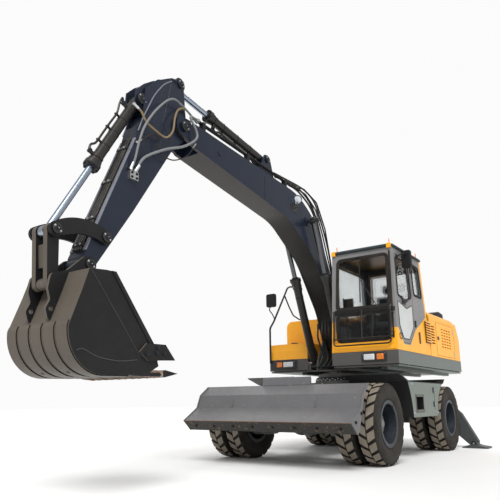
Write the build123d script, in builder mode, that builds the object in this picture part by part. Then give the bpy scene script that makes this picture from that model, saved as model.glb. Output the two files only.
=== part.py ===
"""Wheeled excavator with twin tyres, a dozer blade, two stabilisers and a backhoe bucket.

Frame: +X points to the blade, +Y to the cab side, +Z up. All sizes are in millimetres.
The pieces are drawn about the slewing centre on the ground, and finish() moves them so that
the origin lies on the ground below the middle of the whole machine.
"""

import os
from math import hypot, sqrt

from build123d import *

os.makedirs("parts", exist_ok=True)

# --- driving dimensions: running gear ---------------------------------------------------
TYRE_R = 500
TYRE_W = 255
TYRE_WALL = 22
BEAD_R = 254
FLANGE_R = 290
TWIN_GAP = 45
TRACK_OUTER = 1260            # outer tyre face from the centre plane
FRONT_AXLE_X = 1612
REAR_AXLE_X = -1024
KINGPIN_Y = 590
DRUM_R = 175
AXLE_R = 85

MIDDLE_X = 1733               # middle of the machine's length, ahead of the slewing centre

# --- driving dimensions: undercarriage --------------------------------------------------
FRAME_HALF = 330
FRAME_FRONT = 1960
FRAME_REAR = -1560
FRAME_TOP = 960
FRAME_BOTTOM = 610
FRAME_T = 20
RING_R = 540
RING_SEAT_R = 560
RING_TOP = 1195
BOX_OUTER = 1220
BOX_BOTTOM = 550
BOX_TOP = 1040
BOX_T = 12
STEP_X = (190, 520)
STEP_Z = (615, 853)
STEP_DEEP = 130
BOX_FRONT_ARC = 970           # about the front wheel
BOX_REAR_ARC = 585            # about the rear wheel

# --- driving dimensions: blade and stabilisers ------------------------------------------
BLADE_HALF = 1210
BLADE_PIN = (1850, 420)
BLADE_CYL_BASE = (1700, 870)
BLADE_CYL_EYE = (2285, 650)
BLADE_CYL_Y = 400
EYE_GAP = 44
SMALL_PIN_R = 22
STAB_PIN_Y = 470
STAB_PIN_Z = 800
STAB_X = -1735
STAB_W = 120
STAB_CYL_Y = 130
STAB_CYL_Z = 1060
STAB_EYE = (1000, 770)
STAB_PIN_R = 28

# --- driving dimensions: upper structure ------------------------------------------------
DECK_Z = 1269
SKIRT_TOP = 1451
SIDE = 1232                   # half width of the upper structure
TAIL_X = -2300
CORNER_X = -2000
CAB_FRONT = 1094
CAB_REAR = -330
CAB_RIGHT = 240
CAB_ROOF_Z = 2930
CAB_LEAN_FRONT = 120
CAB_LEAN_SIDE = 45
CAB_WALL = 45
TANK_FRONT = 471
TANK_IN = -510
TANK_TOP = 1706
HOOD_FRONT = -100
HOOD_TOP = 2165
HOOD_REAR = -1700
HOOD_SHOULDER = 110
TAIL_TOP = 2090
SHEET = 20

# --- driving dimensions: working gear, as (x, z) in the plane of the boom ----------------
GEAR_Y = -140                 # plane of the boom, arm and bucket
FOOT = (120, 1700)
BOOM_LUG = (420, 1320)
ROD_PIN = (1310, 3440)
NOSE = (4130, 3820)
ARM_LUG = (2280, 4120)
ARM_TOP = (4151, 4362)
BUCKET_LUG = (4720, 3915)
ROCKER_PIN = (5160, 2270)
BUCKET_PIN = (5327, 1982)
LINK_TOP = (5700, 2220)
LINK_LOW = (5671, 1760)
BOOM_W = 330
BOOM_SKIN = 24
ARM_W = 230
BUCKET_W = 840
CYL_SPREAD = BOOM_W / 2 + 99  # boom cylinders from the plane of the boom
LUG_GAP = 63                  # inner face of a cylinder's lugs
PLATE = 16
PIN_R = 32
RUN = 1.0                     # radial clearance of a pin in its eye
ACROSS = Vector(0, 1, 0)
LENGTHWISE = Vector(1, 0, 0)


# --- helpers ----------------------------------------------------------------------------
def xz(y):
    """Side plane at y: its sketch axes are global X and Z, and it extrudes towards -Y."""
    return Plane(origin=(0, y, 0), x_dir=(1, 0, 0), z_dir=(0, -1, 0))


def yz(x):
    """Cross plane at x: its sketch axes are global Y and Z, and it extrudes towards +X."""
    return Plane(origin=(x, 0, 0), x_dir=(0, 1, 0), z_dir=(1, 0, 0))


def slab(outline, y_low, y_high, radius=0.0, mode=Mode.ADD):
    """A plate with an (x, z) outline between two y values; radius is one value or one a corner."""
    with BuildSketch(xz(y_high)) as profile:
        with BuildLine():
            if radius:
                FilletPolyline(*outline, radius=radius, close=True)
            else:
                Polyline(*outline, close=True)
        make_face()
    extrude(profile.sketch, amount=y_high - y_low, dir=(0, -1, 0), mode=mode)


def cross_slab(outline, x_low, x_high, radius=0.0, mode=Mode.ADD):
    """A plate with a (y, z) outline between two x values."""
    with BuildSketch(yz(x_low)) as profile:
        with BuildLine():
            if radius:
                FilletPolyline(*outline, radius=radius, close=True)
            else:
                Polyline(*outline, close=True)
        make_face()
    extrude(profile.sketch, amount=x_high - x_low, dir=(1, 0, 0), mode=mode)


def flat_slab(outline, z_low, z_high, radius=0.0, mode=Mode.ADD):
    """A plate with an (x, y) outline between two z values."""
    with BuildSketch(Plane.XY.offset(z_low)) as profile:
        with BuildLine():
            if radius:
                FilletPolyline(*outline, radius=radius, close=True)
            else:
                Polyline(*outline, close=True)
        make_face()
    extrude(profile.sketch, amount=z_high - z_low, dir=(0, 0, 1), mode=mode)


def disc(spot, radius, y_low, y_high, mode=Mode.ADD):
    """A round bar along Y at an (x, z) spot."""
    with BuildSketch(xz(y_high)) as profile:
        with Locations(spot):
            Circle(radius)
    extrude(profile.sketch, amount=y_high - y_low, dir=(0, -1, 0), mode=mode)


def block(x_low, x_high, y_low, y_high, z_low, z_high, mode=Mode.ADD):
    """A plain block between pairs of limits."""
    with Locations(((x_low + x_high) / 2, (y_low + y_high) / 2, (z_low + z_high) / 2)):
        Box(x_high - x_low, y_high - y_low, z_high - z_low, mode=mode)


def bar(start, end, radius, mode=Mode.ADD):
    """A round bar between two points in space."""
    axis = Vector(end) - Vector(start)
    with BuildSketch(Plane(origin=start, z_dir=axis)) as profile:
        Circle(radius)
    extrude(profile.sketch, amount=axis.length, dir=axis, mode=mode)


def at(spot, y):
    """An (x, z) spot put at a y value."""
    return Vector(spot[0], y, spot[1])


def along(start, end, run):
    """The point a given run from start on the way to end."""
    return start + (end - start).normalized() * run


def ring(centre, axis, radius, width, mode=Mode.ADD):
    """A round bar of a given width, centred on a spot."""
    bar(centre - axis * (width / 2), centre + axis * (width / 2), radius, mode)


def cylinder_barrel(base, eye, pin, radius, length, eye_w, rod_r, pin_r=PIN_R):
    """A hydraulic barrel with its base eye and gland, pointing at the far eye."""
    wall = 10
    neck = 1.6 * radius
    ring(base, pin, pin_r + 20, eye_w)
    bar(base, along(base, eye, neck + 5), min(eye_w / 2, radius) - 2)
    bar(along(base, eye, neck), along(base, eye, length), radius)
    bar(along(base, eye, length - 1.6 * radius), along(base, eye, length), radius + 14)
    bar(along(base, eye, length - 2.6 * radius), along(base, eye, length - 1.9 * radius), radius + 7)
    bar(along(base, eye, neck + 20), along(base, eye, length - 60), radius - wall, Mode.SUBTRACT)
    bar(along(base, eye, length - 70), along(base, eye, length + 1), rod_r + RUN, Mode.SUBTRACT)
    ring(base, pin, pin_r + RUN, 2 * eye_w, Mode.SUBTRACT)


def cylinder_rod(base, eye, pin, radius, run_in, eye_w, pin_r=PIN_R):
    """A rod that reaches run_in from its eye back into the barrel."""
    ring(eye, pin, pin_r + 24, eye_w)
    bar(along(eye, base, run_in), eye, radius)


def pinned_rod(base, eye, pin, radius, run_in, eye_w, pin_w, pin_r=PIN_R):
    """A rod that carries its own pin, with open room for the eye's drift between its lugs."""
    cylinder_rod(base, eye, pin, radius, run_in, eye_w, pin_r)
    ring(eye, pin, pin_r, pin_w)


def finish(piece, name):
    """Move a piece into the shared frame, label it and write its STEP file."""
    piece.part = piece.part.moved(Location((-MIDDLE_X, 0, 0)))
    piece.part.label = name
    export_step(piece.part, f"parts/{name}.step")


# --- wheels -----------------------------------------------------------------------------
TWIN_OUT = TRACK_OUTER - TYRE_W / 2
TWIN_IN = TWIN_OUT - TYRE_W - TWIN_GAP
TWIN_MID = (TWIN_OUT + TWIN_IN) / 2
DISC_T = 14


def wheel_plane(x):
    """Sketch plane through a wheel's axis: local x is global Y and local y is the radius."""
    return Plane(origin=(x, 0, TYRE_R), x_dir=(0, 1, 0), z_dir=(1, 0, 0))


def twin_tyres(x, side):
    """Two hollow tyres on one hub."""
    half = TYRE_W / 2
    bead = half - 34
    inner = TYRE_WALL
    for centre in (side * TWIN_OUT, side * TWIN_IN):
        with BuildSketch(wheel_plane(x)) as profile:
            with BuildLine():
                Polyline((centre - bead, BEAD_R + 1), (centre - bead, FLANGE_R + 6),
                         (centre - half, 350), (centre - half, 430),
                         (centre - half + 14, 482), (centre - half + 34, TYRE_R),
                         (centre + half - 34, TYRE_R), (centre + half - 14, 482),
                         (centre + half, 430), (centre + half, 350),
                         (centre + bead, FLANGE_R + 6), (centre + bead, BEAD_R + 1),
                         (centre + bead - inner, BEAD_R + 1), (centre + bead - inner, FLANGE_R + 14),
                         (centre + half - inner, 358),
                         (centre + half - inner, 425), (centre + half - inner - 28, 455),
                         (centre - half + inner + 28, 455), (centre - half + inner, 425),
                         (centre - half + inner, 358), (centre - bead + inner, FLANGE_R + 14),
                         (centre - bead + inner, BEAD_R + 1), close=True)
            make_face()
        revolve(profile.sketch, axis=Axis((x, 0, TYRE_R), (0, 1, 0)))


def twin_rims(x, side):
    """Two dished rims bolted face to face, and the hub drum that carries them."""
    seat = TYRE_W / 2 - 34
    for centre, away in ((side * TWIN_OUT, side), (side * TWIN_IN, -side)):
        near = centre - away * seat
        with BuildSketch(wheel_plane(x)) as profile:
            with BuildLine():
                Polyline((centre - seat - 12, FLANGE_R), (centre - seat - 1, FLANGE_R),
                         (centre - seat - 1, BEAD_R), (centre + seat + 1, BEAD_R),
                         (centre + seat + 1, FLANGE_R), (centre + seat + 12, FLANGE_R),
                         (centre + seat + 12, BEAD_R - 12), (centre - seat - 12, BEAD_R - 12),
                         close=True)
            make_face()
        revolve(profile.sketch, axis=Axis((x, 0, TYRE_R), (0, 1, 0)))
        mate = side * TWIN_MID + away * DISC_T
        with BuildSketch(wheel_plane(x)) as profile:
            with BuildLine():
                Polyline((near, BEAD_R - 6), (near - away * 14, BEAD_R - 6),
                         (mate - away * DISC_T, 205), (mate - away * DISC_T, 120),
                         (mate, 120), (mate, 200), close=True)
            make_face()
        revolve(profile.sketch, axis=Axis((x, 0, TYRE_R), (0, 1, 0)))
    hub = side * (TWIN_MID - 70)
    with BuildSketch(wheel_plane(x)) as profile:
        with BuildLine():
            Polyline((hub, 95), (hub, 165), (side * (TWIN_MID + 30), 165),
                     (side * (TWIN_MID + 42), 150), (side * (TWIN_MID + 120), 138),
                     (side * (TWIN_MID + 128), 128), (side * (TWIN_MID + 128), 0),
                     (side * (TWIN_MID + 100), 0), (side * (TWIN_MID + 100), 95), close=True)
        make_face()
    revolve(profile.sketch, axis=Axis((x, 0, TYRE_R), (0, 1, 0)))


for corner, wheel_x in (("front", FRONT_AXLE_X), ("rear", REAR_AXLE_X)):
    for hand, side in (("left", 1), ("right", -1)):
        with BuildPart() as tyres:
            twin_tyres(wheel_x, side)
        finish(tyres, f"tyres_{corner}_{hand}")
        with BuildPart() as rims:
            twin_rims(wheel_x, side)
        finish(rims, f"rims_{corner}_{hand}")

# --- axles and knuckles -----------------------------------------------------------------
SPINDLE_END = TWIN_MID + 90
DRUM_IN = 720
DRUM_OUT = TWIN_MID - 78
YOKE_Z = 130
YOKE_T = 36
YOKE_IN = 505
ARM_BACK = 260

with BuildPart() as axles:
    bar((REAR_AXLE_X, -DRUM_IN, TYRE_R), (REAR_AXLE_X, DRUM_IN, TYRE_R), AXLE_R)
    for side in (1, -1):
        bar((REAR_AXLE_X, side * DRUM_IN, TYRE_R), (REAR_AXLE_X, side * DRUM_OUT, TYRE_R), DRUM_R)
        bar((REAR_AXLE_X, side * DRUM_OUT, TYRE_R), (REAR_AXLE_X, side * SPINDLE_END, TYRE_R), 90)
    bar((FRONT_AXLE_X, -YOKE_IN, TYRE_R), (FRONT_AXLE_X, YOKE_IN, TYRE_R), AXLE_R)
    for side in (1, -1):
        inner, outer = sorted((side * (YOKE_IN - 40), side * YOKE_IN))
        block(FRONT_AXLE_X - 70, FRONT_AXLE_X + 70, inner, outer,
              TYRE_R - YOKE_Z - YOKE_T, TYRE_R + YOKE_Z + YOKE_T)
        inner, outer = sorted((side * (YOKE_IN - 10), side * (KINGPIN_Y + 60)))
        for low in (TYRE_R - YOKE_Z - YOKE_T, TYRE_R + YOKE_Z):
            block(FRONT_AXLE_X - 60, FRONT_AXLE_X + 60, inner, outer, low, low + YOKE_T)
        for low in (TYRE_R - YOKE_Z - YOKE_T, TYRE_R + YOKE_Z):
            with Locations((FRONT_AXLE_X, side * KINGPIN_Y, low + YOKE_T / 2)):
                Cylinder(28 + RUN, YOKE_T + 2, mode=Mode.SUBTRACT)
    for axle_x in (REAR_AXLE_X, FRONT_AXLE_X):
        with Locations((axle_x, 0, TYRE_R)):
            Sphere(170)
        block(axle_x - 90, axle_x + 90, -FRAME_HALF + 40, FRAME_HALF - 40, TYRE_R, FRAME_BOTTOM + 60)
finish(axles, "axles")

for hand, side in (("left", 1), ("right", -1)):
    with BuildPart() as knuckle:
        with Locations((FRONT_AXLE_X, side * KINGPIN_Y, TYRE_R)):
            Cylinder(62, 2 * YOKE_Z - 8)
            Cylinder(28, 2 * (YOKE_Z + YOKE_T) - 4)
        bar((FRONT_AXLE_X, side * KINGPIN_Y, TYRE_R), (FRONT_AXLE_X, side * SPINDLE_END, TYRE_R), 90)
        bar((FRONT_AXLE_X, side * DRUM_IN, TYRE_R), (FRONT_AXLE_X, side * DRUM_OUT, TYRE_R), DRUM_R)
        steer_y = side * (KINGPIN_Y - 60)
        steering_arm = [(0, -40), (-110, -30), (-ARM_BACK - 35, -95), (-ARM_BACK - 35, -25), (0, 55)]
        flat_slab([(FRONT_AXLE_X + x, side * (KINGPIN_Y + y)) for x, y in steering_arm][::side],
                  TYRE_R - 90, TYRE_R - 62)
        with Locations((FRONT_AXLE_X - ARM_BACK, steer_y, TYRE_R - 76)):
            Cylinder(16 + RUN, 60, mode=Mode.SUBTRACT)
    finish(knuckle, f"knuckle_{hand}")

with BuildPart() as tie_rod:
    rod_y = KINGPIN_Y - 60
    rod_x = FRONT_AXLE_X - ARM_BACK
    rod_z = TYRE_R - 124
    bar((rod_x, -rod_y, rod_z), (rod_x, rod_y, rod_z), 22)
    for side in (1, -1):
        with Locations((rod_x, side * rod_y, rod_z)):
            Cylinder(36, 50)
    with Locations((rod_x, rod_y, TYRE_R - 85)):
        Cylinder(16, 60)
finish(tie_rod, "tie_rod")

# --- chassis ----------------------------------------------------------------------------
with BuildPart() as chassis_frame:
    side_plate = [(FRAME_REAR, 700), (FRAME_REAR, FRAME_TOP - 40), (FRAME_REAR + 60, FRAME_TOP),
                  (FRAME_FRONT - 120, FRAME_TOP), (FRAME_FRONT, FRAME_TOP - 120), (FRAME_FRONT, 690),
                  (1250, 690), (1100, FRAME_BOTTOM), (-640, FRAME_BOTTOM), (-760, 690)]
    for low, high in ((-FRAME_HALF, -FRAME_HALF + FRAME_T), (FRAME_HALF - FRAME_T, FRAME_HALF)):
        slab(side_plate, low, high)
    block(FRAME_REAR, FRAME_FRONT - 120, -FRAME_HALF, FRAME_HALF, FRAME_TOP - FRAME_T, FRAME_TOP)
    block(FRAME_REAR, FRAME_REAR + FRAME_T, -FRAME_HALF, FRAME_HALF, 700, FRAME_TOP - 40)
    block(FRAME_FRONT - FRAME_T, FRAME_FRONT, -FRAME_HALF, FRAME_HALF, 690, FRAME_TOP - 120)
    block(1250, FRAME_FRONT, -FRAME_HALF, FRAME_HALF, 690, 690 + FRAME_T)
    block(FRAME_REAR, -760, -FRAME_HALF, FRAME_HALF, 700, 700 + FRAME_T)
    with Locations((0, 0, (FRAME_TOP + 1090) / 2 - 5)):
        Cylinder(RING_SEAT_R, 1100 - FRAME_TOP)
        Cylinder(290, 1102 - FRAME_TOP, mode=Mode.SUBTRACT)
finish(chassis_frame, "chassis_frame")

with BuildPart() as blade_brackets:
    for side in (1, -1):
        low, high = sorted((side * 250, side * 300))
        slab([(1715, 690), (1800, 440), (1900, 440), (1945, 690)], low, high)
        disc(BLADE_PIN, 62, low, high)
        disc(BLADE_PIN, PIN_R + RUN, low - 1, high + 1, Mode.SUBTRACT)
        # base pin of the blade cylinder, between two collars
        for near, far, radius in ((FRAME_HALF, BLADE_CYL_Y + 46, SMALL_PIN_R),
                                  (FRAME_HALF, BLADE_CYL_Y - 34, 48),
                                  (BLADE_CYL_Y + 34, BLADE_CYL_Y + 46, 36)):
            low, high = sorted((side * near, side * far))
            disc(BLADE_CYL_BASE, radius, low, high)
finish(blade_brackets, "blade_brackets")

OUTRIGGER = [(-600, 700), (-600, 900), (-420, 940), (-220, 1115), (220, 1115), (420, 940),
             (600, 900), (600, 700), (330, 620), (-330, 620)]
with BuildPart() as outrigger:
    for low in (STAB_X - STAB_W / 2 - 25, STAB_X + STAB_W / 2):
        cross_slab(OUTRIGGER, low, low + 25)
    block(STAB_X + STAB_W / 2, FRAME_REAR, -FRAME_HALF + 30, FRAME_HALF - 30, 710, FRAME_TOP - 60)
    block(STAB_X - STAB_W / 2 - 1, STAB_X + STAB_W / 2 + 1, -40, 40, 640, 920)
    for y, z in ((STAB_PIN_Y, STAB_PIN_Z), (STAB_CYL_Y, STAB_CYL_Z)):
        for side in (1, -1):
            bar((STAB_X - STAB_W / 2 - 1, side * y, z), (STAB_X + STAB_W / 2 + 1, side * y, z),
                STAB_PIN_R)
finish(outrigger, "outrigger")

with BuildPart() as slew_ring:
    with Locations((0, 0, 1117)):
        Cylinder(RING_R, 54)
        Cylinder(RING_R - 110, 56, mode=Mode.SUBTRACT)
finish(slew_ring, "slew_ring")


def wheel_arc(axle_x, radius, z, behind):
    """Where an arc about a wheel crosses a height."""
    return axle_x + (-1 if behind else 1) * sqrt(radius ** 2 - (z - TYRE_R) ** 2)


def step_box(y_low, y_high, inset, mode=Mode.ADD):
    """The box between the wheels, with its end faces curved round the tyres."""
    levels = (BOX_BOTTOM + inset, (BOX_BOTTOM + BOX_TOP) / 2, BOX_TOP - inset)
    front = [(wheel_arc(FRONT_AXLE_X, BOX_FRONT_ARC + inset, z, True), z) for z in levels]
    rear = [(wheel_arc(REAR_AXLE_X, BOX_REAR_ARC + inset, z, False), z) for z in levels]
    with BuildSketch(xz(y_high)) as profile:
        with BuildLine():
            ThreePointArc(*front)
            Line(front[2], rear[2])
            ThreePointArc(*reversed(rear))
            Line(rear[0], front[0])
        make_face()
    extrude(profile.sketch, amount=y_high - y_low, dir=(0, -1, 0), mode=mode)


FENDER_FRONT = wheel_arc(FRONT_AXLE_X, BOX_FRONT_ARC, BOX_TOP, True)
FENDER_REAR = wheel_arc(REAR_AXLE_X, BOX_REAR_ARC, BOX_TOP, False)
with BuildPart() as step_boxes:
    for side in (1, -1):
        low, high = sorted((side * FRAME_HALF, side * BOX_OUTER))
        step_box(low, high, 0)
        low, high = sorted((side * (FRAME_HALF - 1), side * (BOX_OUTER - BOX_T)))
        step_box(low, high, BOX_T, Mode.SUBTRACT)
        with Locations((0, 0, BOX_TOP)):
            Cylinder(RING_SEAT_R + 4, 190, mode=Mode.SUBTRACT)
        # step recess in the outer face
        low, high = sorted((side * (BOX_OUTER - STEP_DEEP - BOX_T), side * (BOX_OUTER - 1)))
        block(STEP_X[0] - BOX_T, STEP_X[1] + BOX_T, low, high, STEP_Z[0] - BOX_T, STEP_Z[1] + BOX_T)
        low, high = sorted((side * (BOX_OUTER - STEP_DEEP), side * (BOX_OUTER + 1)))
        block(*STEP_X, low, high, *STEP_Z, Mode.SUBTRACT)
        # fender sheets over the tyres
        low, high = sorted((side * (FRAME_HALF + 60), side * (BOX_OUTER + 10)))
        slab([(FENDER_FRONT - 30, BOX_TOP - 4), (FENDER_FRONT - 30, BOX_TOP + 8),
              (FENDER_FRONT + 10, BOX_TOP + 14), (1130, 1140), (1140, 1130),
              (FENDER_FRONT + 16, BOX_TOP - 4)], low, high)
        slab([(FENDER_REAR + 30, BOX_TOP - 4), (FENDER_REAR + 30, BOX_TOP + 8),
              (FENDER_REAR, BOX_TOP + 10), (-880, 1110), (-884, 1100), (FENDER_REAR - 2, BOX_TOP - 4)],
             low, high)
finish(step_boxes, "step_boxes")

# --- blade ------------------------------------------------------------------------------
BLADE_FACE = [(2127, 985), (2307, 865), (2377, 701), (2654, 538)]
BLADE_LOW = (2511, 417)

with BuildPart() as blade:
    back = [(2480, 440), (2360, 690), (2290, 855), (2115, 970)]
    slab(BLADE_FACE + [BLADE_LOW] + back, -BLADE_HALF, BLADE_HALF)
    for side in (1, -1):
        low, high = sorted((side * 310, side * 350))
        slab([(1860, 385), (1845, 460), (2150, 620), (2338, 760), (2460, 520), (2380, 440),
              (2000, 360)], low, high)
        disc(BLADE_PIN, 62, low, high)
        low, high = sorted((side * 240, side * 350))
        disc(BLADE_PIN, PIN_R, low, high)
        for y in (side * (BLADE_CYL_Y - EYE_GAP), side * (BLADE_CYL_Y + EYE_GAP)):
            slab([(2255, 690), (2250, 620), (2300, 600), (2420, 590), (2365, 700)], y - 8, y + 8)
        for y in (side * (BLADE_CYL_Y - EYE_GAP - 10), side * (BLADE_CYL_Y + EYE_GAP + 10)):
            disc(BLADE_CYL_EYE, SMALL_PIN_R + 8, y - 6, y + 6)
    slab([(2100, 985), (2100, 1075), (2112, 1085), (2135, 980)], -285, 430)
finish(blade, "blade")

with BuildPart() as blade_cylinder_barrels:
    for y in (-BLADE_CYL_Y, BLADE_CYL_Y):
        cylinder_barrel(at(BLADE_CYL_BASE, y), at(BLADE_CYL_EYE, y), ACROSS, 42, 512, 60, 24,
                        SMALL_PIN_R)
finish(blade_cylinder_barrels, "blade_cylinder_barrels")
with BuildPart() as blade_cylinder_rods:
    for y in (-BLADE_CYL_Y, BLADE_CYL_Y):
        pinned_rod(at(BLADE_CYL_BASE, y), at(BLADE_CYL_EYE, y), ACROSS, 24, 480, 48,
                   2 * (EYE_GAP - 8 - RUN), SMALL_PIN_R)
finish(blade_cylinder_rods, "blade_cylinder_rods")

# --- stabilisers ------------------------------------------------------------------------
LEG = [(470, 730), (400, 800), (470, 870), (1150, 640), (1235, 560), (1478, 105), (1405, 18),
       (1320, 60), (1160, 200), (1000, 430)]
FOOT_PAD = [(1230, 0), (1636, 0), (1632, 22), (1500, 40), (1445, 60), (1365, 60), (1310, 40), (1234, 22)]
LEG_LUG = [(920, 690), (955, 800), (1000, 830), (1045, 810), (1080, 655)]
LEG_W = STAB_W - 10
LEG_LUG_T = 17


def mirrored(outline, side):
    """A (y, z) outline on either side of the centre plane."""
    return [(side * y, z) for y, z in outline][::side]


for hand, side in (("left", 1), ("right", -1)):
    cyl_base = Vector(STAB_X, side * STAB_CYL_Y, STAB_CYL_Z)
    cyl_eye = Vector(STAB_X, side * STAB_EYE[0], STAB_EYE[1])
    hinge = Vector(STAB_X, side * STAB_PIN_Y, STAB_PIN_Z)
    with BuildPart() as leg:
        cross_slab(mirrored(LEG, side), STAB_X - LEG_W / 2, STAB_X + LEG_W / 2)
        ring(hinge, LENGTHWISE, STAB_PIN_R + RUN, 2 * LEG_W, Mode.SUBTRACT)
        for low in (STAB_X - LEG_W / 2, STAB_X + LEG_W / 2 - LEG_LUG_T):
            cross_slab(mirrored(LEG_LUG, side), low, low + LEG_LUG_T)
        for low in (STAB_X - LEG_W / 2 - 4, STAB_X + LEG_W / 2 - 4):
            bar((low, cyl_eye.Y, cyl_eye.Z), (low + 8, cyl_eye.Y, cyl_eye.Z), STAB_PIN_R + 6)
        cross_slab(mirrored(FOOT_PAD, side), STAB_X - 150, STAB_X + 150)
        ring(Vector(STAB_X, side * 1405, 74), LENGTHWISE, 56, 190)
    finish(leg, f"stabiliser_{hand}")
    with BuildPart() as barrel:
        cylinder_barrel(cyl_base, cyl_eye, LENGTHWISE, 45, 690, 90, 26, STAB_PIN_R)
    finish(barrel, f"stabiliser_barrel_{hand}")
    with BuildPart() as rod:
        pinned_rod(cyl_base, cyl_eye, LENGTHWISE, 26, 560, 66, LEG_W - 2 * (LEG_LUG_T + RUN), STAB_PIN_R)
    finish(rod, f"stabiliser_rod_{hand}")

# --- upper structure: deck --------------------------------------------------------------
CAB_LEFT = SIDE - 5
UPPER_PLAN = [(CAB_FRONT, CAB_LEFT), (CAB_FRONT, CAB_RIGHT), (TANK_FRONT, CAB_RIGHT),
              (TANK_FRONT, -SIDE), (CORNER_X, -SIDE)]
BRACKET_IN = BOOM_W / 2 + 8
BRACKET_T = 24
LUG_OUT = CYL_SPREAD + 52
CYL_EYE_W = 90
FOOT_PIN_R = 42


def upper_plan(inset):
    """Plan of the upper structure as a sketch face, inset all round."""
    with BuildSketch() as plan:
        with BuildLine():
            Polyline(*UPPER_PLAN)
            ThreePointArc((CORNER_X, -SIDE), (TAIL_X, 0), (CORNER_X, CAB_LEFT))
            Line((CORNER_X, CAB_LEFT), (CAB_FRONT, CAB_LEFT))
        make_face()
        if inset:
            offset(amount=-inset, kind=Kind.INTERSECTION)
    return plan.sketch


def upper_slab(inset, z_low, z_high, mode=Mode.ADD):
    """The upper structure's plan raised between two heights."""
    extrude(upper_plan(inset).moved(Location((0, 0, z_low))), amount=z_high - z_low, dir=(0, 0, 1),
            mode=mode)


with BuildPart() as deck_frame:
    upper_slab(16, DECK_Z - 30, DECK_Z - 8)
    with Locations((0, 0, 1175)):
        Cylinder(RING_R - 30, 54)
        Cylinder(RING_R - 130, 56, mode=Mode.SUBTRACT)
    for y in (-620, 0, 480, 980):
        block(-1900, 380 if y < 400 else 1000, y - 45, y + 45, 1200, DECK_Z - 28)
    for hand in (1, -1):
        low, high = sorted((GEAR_Y + hand * BRACKET_IN, GEAR_Y + hand * (BRACKET_IN + BRACKET_T)))
        slab([(-420, DECK_Z - 10), (-330, 1420), (-20, 1780), (60, 1830), (180, 1830), (260, 1760),
              (500, 1370), (500, DECK_Z - 10)], low, high)
        low, high = sorted((GEAR_Y + hand * LUG_OUT, GEAR_Y + hand * (LUG_OUT + 20)))
        slab([(260, DECK_Z - 10), (340, 1340), (380, 1375), (450, 1375), (490, 1330),
              (490, DECK_Z - 10)], low, high)
        low, high = sorted((GEAR_Y + hand * BRACKET_IN, GEAR_Y + hand * (LUG_OUT + 34)))
        disc(BOOM_LUG, PIN_R, low, high)
    disc(FOOT, FOOT_PIN_R, GEAR_Y - BRACKET_IN - BRACKET_T - 12, GEAR_Y + BRACKET_IN + BRACKET_T + 12)
finish(deck_frame, "deck_frame")

with BuildPart() as skirts:
    upper_slab(0, DECK_Z, SKIRT_TOP)
    upper_slab(14, DECK_Z - 1, SKIRT_TOP + 1, Mode.SUBTRACT)
    block(TANK_FRONT - 20, TANK_FRONT + 20, TANK_IN + 4, CAB_RIGHT - 16, DECK_Z - 1, SKIRT_TOP + 1,
          Mode.SUBTRACT)
finish(skirts, "skirts")

TAIL_SLOPE = [(-1830, TAIL_TOP + 20), (-1990, 1840), (-2400, 1720), (-2400, TAIL_TOP + 20)]

with BuildPart() as counterweight:
    upper_slab(2, SKIRT_TOP + 2, TAIL_TOP)
    block(HOOD_REAR - 4, CAB_FRONT + 10, -SIDE - 10, SIDE + 10, SKIRT_TOP, HOOD_TOP, Mode.SUBTRACT)
    slab(TAIL_SLOPE, -SIDE - 10, SIDE + 10, mode=Mode.SUBTRACT)
    # pocket for the towing pin
    block(TAIL_X - 1, TAIL_X + 70, -75, 75, SKIRT_TOP + 45, SKIRT_TOP + 165, Mode.SUBTRACT)
    bar((TAIL_X + 38, 0, SKIRT_TOP + 30), (TAIL_X + 38, 0, SKIRT_TOP + 180), 17)
finish(counterweight, "counterweight")

# --- upper structure: engine bay and tank -----------------------------------------------
DOOR_GAP = 6
LEFT_DOOR = (-1640, -640)
RIGHT_DOOR = (-1640, -380)
LID_X = (-1620, -560)
LID_Y = (-620, 620)
LOUVRES = 7
LOUVRE_X = (-590, -400)
LOUVRE_Z = 1650
LOUVRE_PITCH = 44
BAY_DOOR_Z = (SKIRT_TOP + 30, HOOD_TOP - HOOD_SHOULDER - 30)
SLOT = (100, 20)
SLOT_PITCH = (140, 48)
SLOT_COLUMNS = 4
SLOT_ROWS = 7
SLOT_MID_Z = 1780


def hood_form(inset, z_low, x_low, x_high, mode=Mode.ADD):
    """The engine cover's cross-section with rounded shoulders, between two x values."""
    side = SIDE - 3 - inset
    top = HOOD_TOP - inset
    bend = HOOD_SHOULDER - inset
    with BuildSketch(yz(x_low)) as section:
        with BuildLine():
            Polyline((-side, top - bend), (-side, z_low), (side, z_low), (side, top - bend))
            RadiusArc((side, top - bend), (side - bend, top), -bend)
            Line((side - bend, top), (-side + bend, top))
            RadiusArc((-side + bend, top), (-side, top - bend), -bend)
        make_face()
    extrude(section.sketch, amount=x_high - x_low, dir=(1, 0, 0), mode=mode)


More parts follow.
